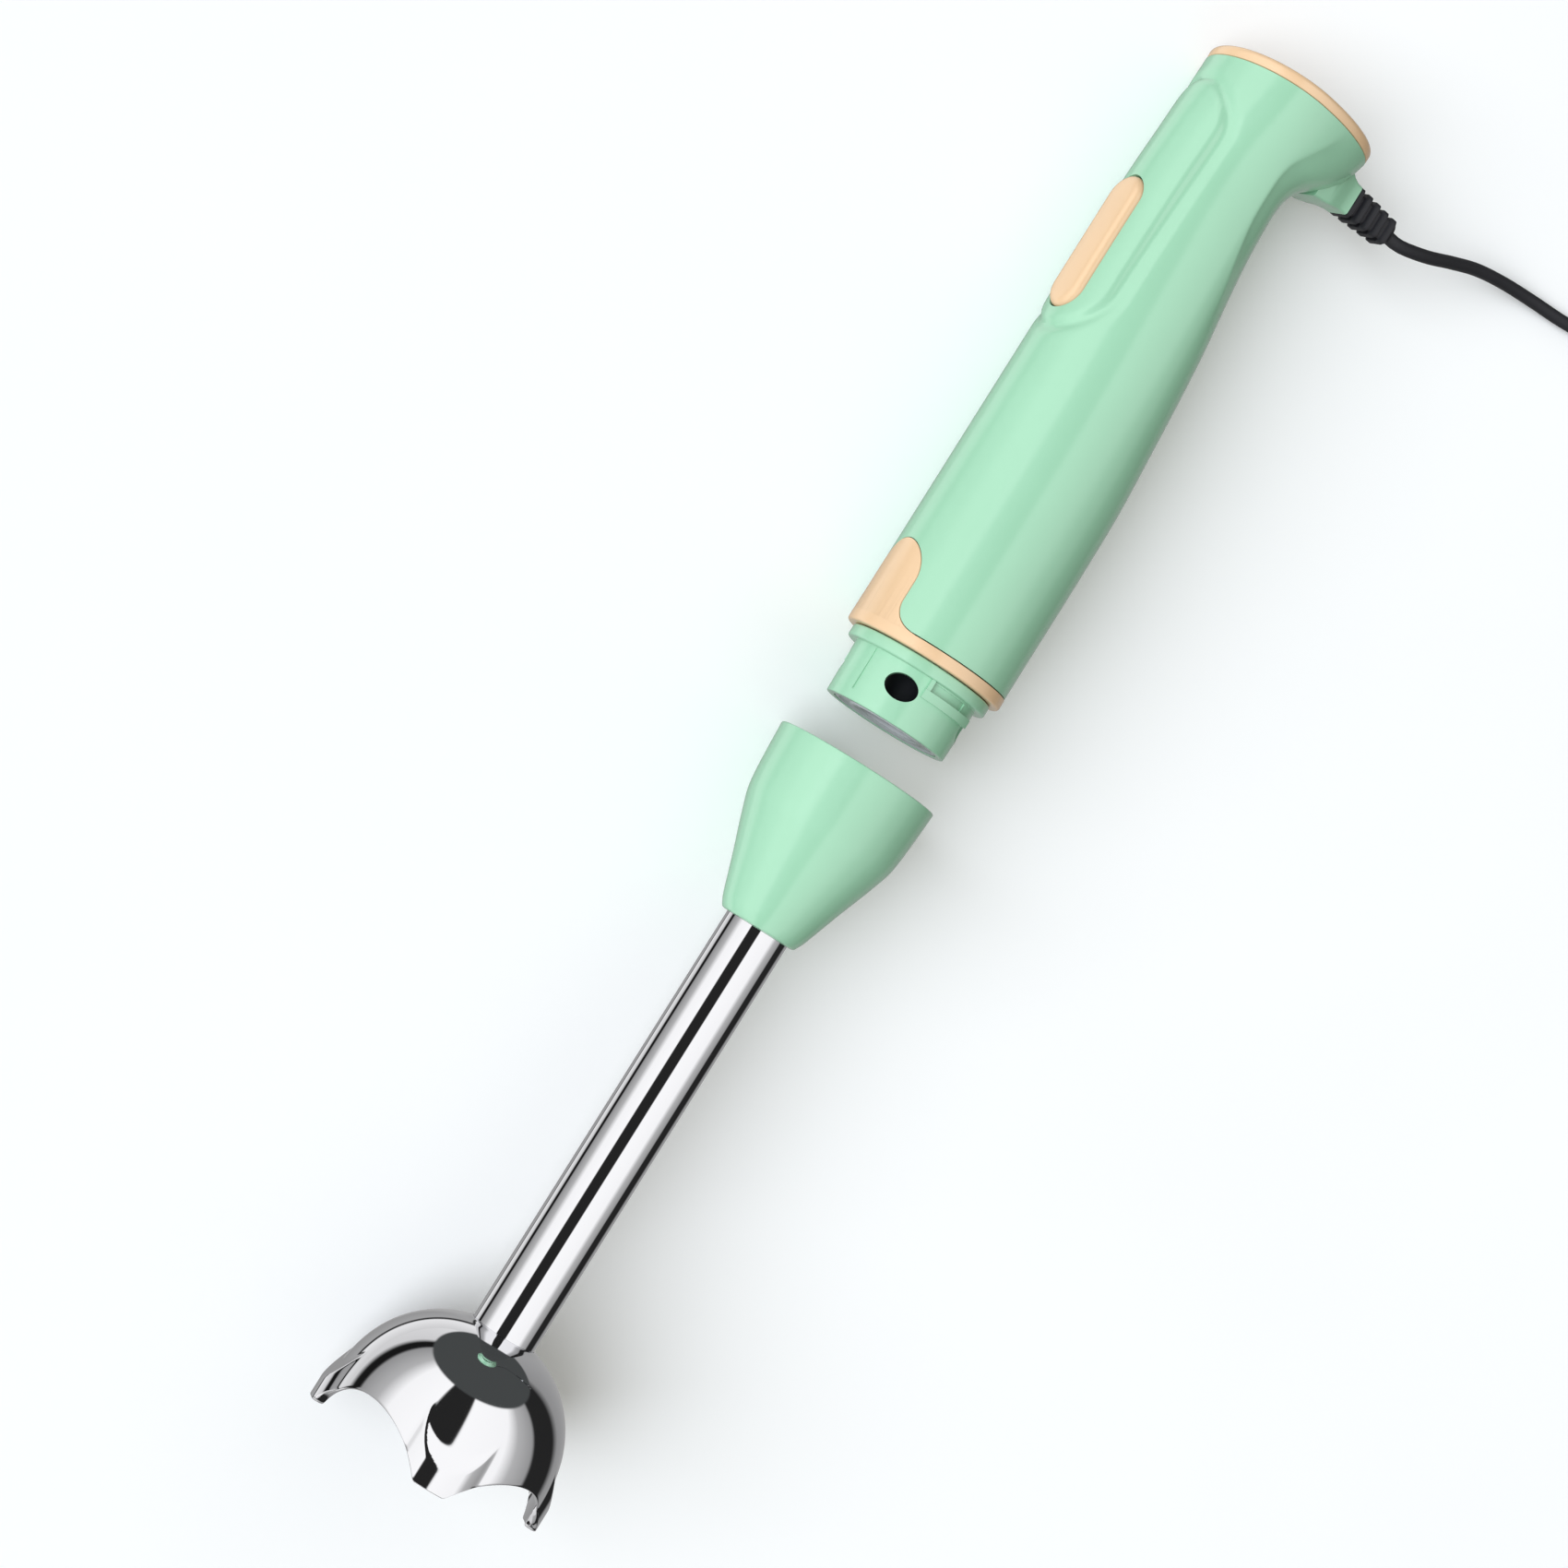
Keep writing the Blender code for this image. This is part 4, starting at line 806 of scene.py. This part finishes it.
def bell():
    tip, _ = span("bell_guard")
    neck = reach("shaft_tube") + 0.1 * MM
    columns = 360
    lobes = [(i * 360 / columns - LOBE_PHASE + 45) % 90 - 45 for i in range(columns)]
    rims = [rim_height(radians(45 - abs(lobe))) for lobe in lobes]
    top = BELL_HEIGHT + 0.6 * MM

    def ring(share, inset, sheer=0.0):
        """A ring between the rim, at share 0, and the neck, at share 1."""
        made = []
        for i in range(columns):
            climb = share if share < 0.4 else 0.4 + 0.6 * sin((share - 0.4) / 0.6 * pi / 2)
            height = rims[i] + sheer + (top - 0.55 * MM - rims[i] - sheer) * climb
            radius = dome_radius(height)
            if not inset:
                radius = soft_max(radius, foot_radius(radians(lobes[i]), height), 0.3 * MM)
            radius = max(radius - inset, neck + 0.5 * MM)
            a = 2 * pi * i / columns
            made.append((radius * cos(a), radius * sin(a), tip + height))
        return made

    steps = 64
    outside = [ring(i / steps, 0, 0.35 * MM) for i in range(steps + 1)]
    edge = ((1.2, 0.75), (0.8, 0.55), (0.4, 0.4), (0.15, 0.4), (0, 0.6), (0, 2.2))
    collar_edge = [(neck + inset * MM, BELL_HEIGHT - drop * MM) for inset, drop in edge]
    outside = [row for row in outside if min(Vector(p).xy.length for p in row) > neck + 1.6 * MM]
    inside = [ring(i / 24, BELL_WALL, 0.35 * MM) for i in range(24, -1, -1)]
    inside = [row for row in inside if min(Vector(p).xy.length for p in row) > neck + 1.0 * MM]
    lip = [[Vector(p) for p in inside[-1]], [Vector(p) for p in outside[0]]]
    lip = [
        [p.lerp(q, share) + Vector((0, 0, -drop * MM)) for p, q in zip(*lip)]
        for share, drop in ((0.08, 0.22), (0.3, 0.35), (0.7, 0.35), (0.92, 0.22))
    ]
    rows = outside + [circle(r, tip + z, columns) for r, z in collar_edge] + inside + lip
    piece("bell", skin(rows, closed=True, sharp=32), "chrome", "shaft_unit", "bell_guard")


def blade():
    """Two bent wings, each ground to an edge along its leading side."""
    plane = sum(span("blade")) / 2
    half_thickness = 0.7 * MM
    stations = []
    for i in range(-24, 25):
        part = i / 24
        x = 24 * MM * sin(part * pi / 2 * 0.98)
        share = abs(x) / (24 * MM)
        half_width = (6.4 - 2.8 * share) * MM * sqrt(max(0.02, 1 - max(0, share - 0.9) ** 2 * 90))
        rise = 5 * MM * max(0, share - 0.35) * (1 if part > 0 else -1)
        twist = radians(14) * part
        ring = []
        for u, v in ((-1, -1), (0.45, -1), (1, -0.15), (1, 0.15), (0.45, 1), (-1, 1)):
            y = (u if part >= 0 else -u) * half_width
            z = v * half_thickness
            across = y * cos(twist) - z * sin(twist)
            height = y * sin(twist) + z * cos(twist)
            ring.append((x, across, plane + rise + height))
        stations.append(ring if part >= 0 else [ring[k] for k in (1, 0, 5, 4, 3, 2)])
    bore = cylinder(3.2 * MM, (0, 0, plane - 5 * MM), (0, 0, plane + 5 * MM))
    mesh = combined(skin(stations), [("DIFFERENCE", bore)], 30)
    piece("cutting_blade", mesh, "brushed_steel", "blade_unit", "blade")


# Cord: strain relief, the free stretch, the coil, its clip and the plug.

CORD_RADIUS = 2.0 * MM
COIL_X, COIL_Y, COIL_RADIUS = 0.220, -0.220, 23.5 * MM
PITCH = 4.04 * MM  # between turns
# Lanes of the turns on the table, in pitches from COIL_RADIUS, outermost first.
LANES = (1.5, 0.5, -0.5, -1.5)
MOVE = 0.30  # the part of a turn in which the cord moves over to its next lane


def strain_relief():
    """A ribbed sleeve: rounded square ribs on a tapering core, with a bead at its end."""
    start = min(p.x for p in tool_points("body_housing")) - 0.05 * MM
    end = min(p.x for p in tool_points("strain_relief"))
    back = max(p.x for p in tool_points("strain_relief"))
    length = start - end

    def ring(x, half, corner):
        flat = rounded([(half, half), (-half, half), (-half, -half), (half, -half)], corner, 6)
        return [(x, u, BOSS_MIDDLE + v) for u, v in flat]

    rows = [ring(start, 4.5 * MM, 1.6 * MM), ring(start - 0.3 * MM, 4.8 * MM, 1.8 * MM)]
    rows += [ring(start - 1.5 * MM, 4.8 * MM, 1.8 * MM), ring(start - 1.8 * MM, 4.4 * MM, 1.8 * MM)]
    pitch = (length - 3.2 * MM) / 4
    for i in range(4):
        x = start - 1.9 * MM - pitch * i
        rib = (4.7 - 0.18 * i) * MM
        rows += [ring(x, 3.5 * MM, 1.6 * MM), ring(x - 0.35 * pitch, 3.5 * MM, 1.6 * MM)]
        rows += [ring(x - 0.4 * pitch, rib - 0.3 * MM, 1.8 * MM), ring(x - 0.5 * pitch, rib, 1.9 * MM)]
        rows += [ring(x - 0.86 * pitch, rib, 1.9 * MM)]
        rows += [ring(x - 0.96 * pitch, rib - 0.4 * MM, 1.8 * MM)]
    rows += [ring(end + 0.5 * MM, 3.2 * MM, 2.2 * MM), ring(end, 2.6 * MM, 2.2 * MM)]
    steps = [("UNION", cylinder(3.3 * MM, (start - MM, 0, BOSS_MIDDLE), (back, 0, BOSS_MIDDLE)))]
    for side in (-1, 1):  # the bridges between ribs stay on two sides only
        for i in range(4):
            x = start - 1.9 * MM - pitch * (i + 0.18)
            slot = rounded([(1.1, 2.7), (-1.1, 2.7), (-1.1, -2.7), (1.1, -2.7)], 1.0, 5)
            slot = [(x + u * MM * 0.9, v * MM) for u, v in slot]
            low = side * 2.6 * MM
            cutter = skin([[(u, v, BOSS_MIDDLE + w) for u, v in slot] for w in (low, side * 6 * MM)])
            steps.append(("DIFFERENCE", cutter))
    mesh = combined(skin(rows, sharp=40), steps, 40)
    piece("cord_sleeve", mesh, "black_rubber", "motor_unit", "strain_relief")
    return TOOL @ Vector((end, 0, BOSS_MIDDLE))


def cord_route(exit_point):
    """From the strain relief over to the table and on to the coil."""
    ahead = TOOL.to_3x3() @ Vector((-1, 0, 0))
    on_table = CORD_RADIUS + 0.1 * MM
    return [
        exit_point,
        exit_point + ahead * 7 * MM,
        (0.2178, -0.0625, 0.0214),
        (0.2230, -0.0745, 0.0163),
        (0.2280, -0.0870, 0.0110),
        (0.2318, -0.1010, 0.0062),
        (0.2344, -0.1155, 0.0031),
        (0.2364, -0.1310, on_table),
        (0.2400, -0.1500, on_table),
        (0.2450, -0.1680, on_table),
    ]


def coil_turns(turns=7.25, steps=36):
    """Turns wound inwards on the table and outwards again on top, each on its own lane.

    Each turn moves over to the next lane a little after the turn that it follows has left it."""
    slots = [(COIL_RADIUS + lane * PITCH, CORD_RADIUS + 0.1 * MM) for lane in LANES]
    slots += [(radius, z + PITCH) for radius, z in slots[::-1]]
    points = []
    for i in range(round(turns * steps) + 1):
        turn = i / steps
        k = min(int(turn), len(slots) - 1)
        part = turn - k
        radius, z = slots[k]
        if k + 1 < len(slots):
            arrives = 0.92 - 0.09 * k
            share = smoothstep(arrives - MOVE, arrives, part)
            radius += (slots[k + 1][0] - radius) * share
            z += (slots[k + 1][1] - z) * share
        a = -2 * pi * turn
        points.append((COIL_X + radius * cos(a), COIL_Y + radius * sin(a), z))
    return points


def smooth_route(points, step):
    """Points every step metres along a Catmull-Rom curve through the route."""
    knots = [Vector(p) for p in points]
    ends = [2 * knots[0] - knots[1]] + knots + [2 * knots[-1] - knots[-2]]
    fine = []
    for a, b, c, d in zip(ends, ends[1:], ends[2:], ends[3:]):
        for i in range(12):
            t = i / 12
            fine.append(
                b
                + 0.5 * (c - a) * t
                + 0.5 * (2 * a - 5 * b + 4 * c - d) * t**2
                + 0.5 * (3 * b - a - 3 * c + d) * t**3
            )
    fine.append(knots[-1])
    route = [fine[0]]
    for point in fine[1:-1]:
        if (point - route[-1]).length >= step:
            route.append(point)
    return route + [fine[-1]]


def plug():
    """A flat two-pin plug: a softly squared body with grip ridges, and pins with round ends."""
    low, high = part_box("plug_body")
    middle_y, middle_z = (low.y + high.y) / 2, (low.z + high.z) / 2
    # (distance from the tail, half width, half height) in millimetres
    stations = (
        (0, 2.3, 2.3), (0.6, 2.6, 2.6), (6, 3.0, 3.0), (12, 3.4, 3.4), (13.2, 4.6, 4.2), (15, 6.6, 5.2),
        (19, 8.8, 6.0), (24, 10.6, 6.5), (32, 12.5, 6.8), (40, 12.8, 6.8), (45.6, 12.8, 6.8),
        (46.6, 12.3, 6.3), (47, 11.4, 5.4),
    )
    rings = []
    for distance, half_width, half_height in stations:
        corners = [(half_width, half_height), (-half_width, half_height)]
        corners += [(-half_width, -half_height), (half_width, -half_height)]
        outline = rounded(corners, min(half_width, half_height) * 0.9, 8)
        x = high.x - distance * MM
        rings.append([(x, middle_y + u * MM, middle_z + v * MM) for u, v in outline])
    body = skin(rings, sharp=50)
    steps = []
    for side in (-1, 1):
        for i in range(5):
            x = high.x - (27 + 3.2 * i) * MM
            y = middle_y + side * 13.4 * MM
            notch = cylinder(1.0 * MM, (x, y, middle_z - 9 * MM), (x, y, middle_z + 9 * MM), 24)
            steps.append(("DIFFERENCE", notch))
    mesh = combined(body, steps, 40)
    world_place = Matrix.Identity(4)
    made = piece("mains_plug", mesh, "black_rubber", "motor_unit", "plug_body", place=world_place)
    return made, Vector((high.x, middle_y, middle_z))


def pins():
    made = []
    for name in ("plug_pin_left", "plug_pin_right"):
        low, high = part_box(name)
        y, z = (low.y + high.y) / 2, (low.z + high.z) / 2
        radius, length = (high.z - low.z) / 2, high.x - low.x
        outline = [(radius, 0), (radius, length - radius)]
        outline += [
            (max(0.04 * MM, radius * cos(a)), length - radius + radius * sin(a) * 0.98)
            for a in (i * pi / 16 for i in range(1, 9))
        ]
        place = Matrix.Translation((high.x, y, z)) @ Matrix.Rotation(-pi / 2, 4, "Y")
        mesh = turned(outline, 48, closed=False)
        made.append(piece(name + "_bar", mesh, "brushed_steel", "motor_unit", name, place=place))
    return made


def cord_clip():
    """The clip round the coil: a U of thin strip with round corners."""
    low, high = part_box("cord_tie")
    thick = 1.2 * MM
    inner = [(low.x + thick, low.z), (low.x + thick, high.z - thick), (high.x - thick, high.z - thick)]
    inner += [(high.x - thick, low.z)]
    outer = [(high.x, low.z), (high.x, high.z), (low.x, high.z), (low.x, low.z)]
    radii = [r * MM for r in (0.4, 2, 2, 0.4, 0.4, 1, 1, 0.4)]
    outline = rounded(outer + inner, radii, 6)
    rings = [[(x, y, z) for x, z in outline] for y in (low.y, high.y)]
    mesh = combined(skin(rings), [], 40, bevel=0.25 * MM)
    return piece("coil_clip", mesh, "grey_plastic", "motor_unit", "cord_tie", place=Matrix.Identity(4))


def cord_points(exit_point, tail):
    """The cord's middle line, from inside the strain relief to inside the plug."""
    first = cord_route(exit_point + TOOL.to_3x3() @ Vector((1.5 * MM, 0, 0)))
    coil = coil_turns()
    side, _, height = coil[0]
    lead_in = [(side - 0.3 * MM, COIL_Y + 32 * MM, height), (side, COIL_Y + 14 * MM, height)]
    end, stop = Vector(coil[-1]), tail + Vector((-0.5 * MM, 0, 0))
    last = []
    for share in (0.3, 0.65, 1.0):
        point = end.lerp(stop, share)
        point.z = end.z + (stop.z - end.z) * smoothstep(0, 1, share)
        last.append(point)
    return smooth_route([*first, *lead_in, *coil, *last], 2.2 * MM)


def mains_cord():
    exit_point = strain_relief()
    plug_body, tail = plug()
    points = cord_points(exit_point, tail)
    curve = bpy.data.curves.new("mains_cord", "CURVE")
    curve.dimensions = "3D"
    spline = curve.splines.new("POLY")
    spline.points.add(len(points) - 1)
    for knot, point in zip(spline.points, points):
        knot.co = (*point, 1)
    curve.bevel_depth = CORD_RADIUS
    curve.bevel_resolution = 6
    curve.use_fill_caps = True
    made = bpy.data.objects.new("mains_cord", curve)
    made.data.materials.append(LOOKS["black_rubber"])
    bpy.context.scene.collection.objects.link(made)
    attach(made, "motor_unit")
    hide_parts("power_cord", "cord_coil")
    pins()
    cord_clip()


# CAD nodes that stay as they are get their materials here.


def finish_nodes():
    slots = {entry["node"]: entry["material_slot"] for entry in frame["record"]["subparts"]}
    for name, obj in frame["nodes"].items():
        if obj.hide_render:
            continue
        obj.data.materials.clear()
        obj.data.materials.append(LOOKS[slots[name]])


# Studio.


def floor():
    made, tree, shader = principled("floor", (0.95, 0.95, 0.95), 0.55)
    vary_colour(tree, shader, (0.95, 0.95, 0.95), 6, 0.01)
    mesh = bpy.data.meshes.new("floor")
    half = 4.0
    corners = [(u * half, v * half, 0) for u, v in ((-1, -1), (1, -1), (1, 1), (-1, 1))]
    mesh.from_pydata(corners, [], [(0, 1, 2, 3)])
    obj = bpy.data.objects.new("floor", mesh)
    obj.data.materials.append(made)
    obj.location.z = -0.0002
    obj.visible_glossy = False
    bpy.context.scene.collection.objects.link(obj)


def sun(name, toward, strength, softness, colour):
    """A very large, soft lamp far off in the given direction."""
    data = bpy.data.lights.new(name, "SUN")
    data.energy = strength
    data.angle = radians(softness)
    data.color = colour
    made = bpy.data.objects.new(name, data)
    made.rotation_euler = Vector(toward).to_track_quat("Z", "Y").to_euler()
    made.visible_glossy = False
    bpy.context.scene.collection.objects.link(made)


def lights():
    sun("key", (-0.25, 0.85, 0.8), 3.0, 48, (0.95, 1.0, 1.07))


# Brightness of the studio that polished metal sees, by the angle around X from +Y over the top.
AROUND = (
    (-180, 0.02), (-168, 0.02), (-158, 0.30), (-100, 0.45), (-85, 0.80), (-52, 0.70), (-46, 0.01),
    (-37, 0.01), (-34, 0.32), (-12, 0.50), (4, 1.05), (38, 1.10), (40, 0.02), (73, 0.02),
    (75, 1.10), (124, 1.05), (138, 0.50), (158, 0.34), (162, 0.02), (180, 0.02),
)
# The same by the cosine of the angle from the direction straight behind the object.
BEHIND = ((0.42, 0.70), (0.66, 0.90), (0.69, 0.04), (0.72, 0.04), (0.74, 0.40), (1.0, 0.30))


def ramp(tree, value, stops, low, high):
    """A colour ramp in grey through (value, brightness) stops."""
    spread = node(tree, "ShaderNodeMapRange", From_Min=low, From_Max=high)
    made = tree.nodes.new("ShaderNodeValToRGB")
    while len(made.color_ramp.elements) < len(stops):
        made.color_ramp.elements.new(0.5)
    for element, (place, shade) in zip(made.color_ramp.elements, stops):
        element.position = (place - low) / (high - low)
        element.color = (shade, shade, shade, 1)
    tree.links.new(value, spread.inputs["Value"])
    tree.links.new(spread.outputs["Result"], made.inputs["Fac"])
    return made.outputs["Color"]


def switched(tree, value, low, high, below, above):
    """One colour below a value and another above it."""
    share = node(tree, "ShaderNodeMapRange", From_Min=low, From_Max=high)
    mix = tree.nodes.new("ShaderNodeMixRGB")
    tree.links.new(value, share.inputs["Value"])
    tree.links.new(share.outputs["Result"], mix.inputs["Fac"])
    for colour, socket in ((below, mix.inputs[1]), (above, mix.inputs[2])):
        if isinstance(colour, tuple):
            socket.default_value = colour
        else:
            tree.links.new(colour, socket)
    return mix.outputs["Color"]


def reflected_studio(tree):
    """Two soft boxes either side of a dark gap, over a dark floor."""
    place = tree.nodes.new("ShaderNodeTexCoord").outputs["Generated"]
    parts = tree.nodes.new("ShaderNodeSeparateXYZ")
    tree.links.new(place, parts.inputs["Vector"])
    angle = tree.nodes.new("ShaderNodeMath")
    angle.operation = "ARCTAN2"
    tree.links.new(parts.outputs["Z"], angle.inputs[0])
    tree.links.new(parts.outputs["Y"], angle.inputs[1])
    degrees = node(tree, "ShaderNodeMapRange", From_Min=-pi, From_Max=pi, To_Min=-180, To_Max=180)
    tree.links.new(angle.outputs["Value"], degrees.inputs["Value"])
    boxes = ramp(tree, degrees.outputs["Result"], AROUND, -180, 180)
    behind = tree.nodes.new("ShaderNodeVectorMath")
    behind.operation = "DOT_PRODUCT"
    behind.inputs[1].default_value = (-0.17, -0.48, -0.86)
    tree.links.new(place, behind.inputs[0])
    ring = ramp(tree, behind.outputs["Value"], BEHIND, 0.42, 1.0)
    ring = switched(tree, behind.outputs["Value"], 0.41, 0.43, boxes, ring)
    ring = switched(tree, parts.outputs["Y"], -0.35, -0.25, boxes, ring)
    return switched(tree, parts.outputs["X"], 0.77, 0.79, ring, (0.065, 0.07, 0.07, 1))


def world():
    """A white studio. Reflections see the soft boxes and the gaps between them."""
    made = bpy.data.worlds.new("studio")
    made.use_nodes = True
    tree = made.node_tree
    tree.nodes.clear()
    output = tree.nodes.new("ShaderNodeOutputWorld")
    plain = node(tree, "ShaderNodeBackground", Color=(1, 1, 0.93, 1), Strength=0.43)
    boxes = node(tree, "ShaderNodeBackground", Strength=1.0)
    mix = tree.nodes.new("ShaderNodeMixShader")
    path = tree.nodes.new("ShaderNodeLightPath")
    tree.links.new(reflected_studio(tree), boxes.inputs["Color"])
    tree.links.new(path.outputs["Is Glossy Ray"], mix.inputs["Fac"])
    tree.links.new(plain.outputs["Background"], mix.inputs[1])
    tree.links.new(boxes.outputs["Background"], mix.inputs[2])
    tree.links.new(mix.outputs["Shader"], output.inputs["Surface"])
    bpy.context.scene.world = made
    bpy.context.scene.view_settings.view_transform = "Standard"


def main():
    camera()
    mains_cord()
    housing()
    trim_ring()
    top_cap()
    button()
    spigot()
    end_plate()
    spigot_screws()
    drive_socket()
    collar()
    tube()
    bell()
    blade()
    finish_nodes()
    floor()
    lights()
    world()


main()
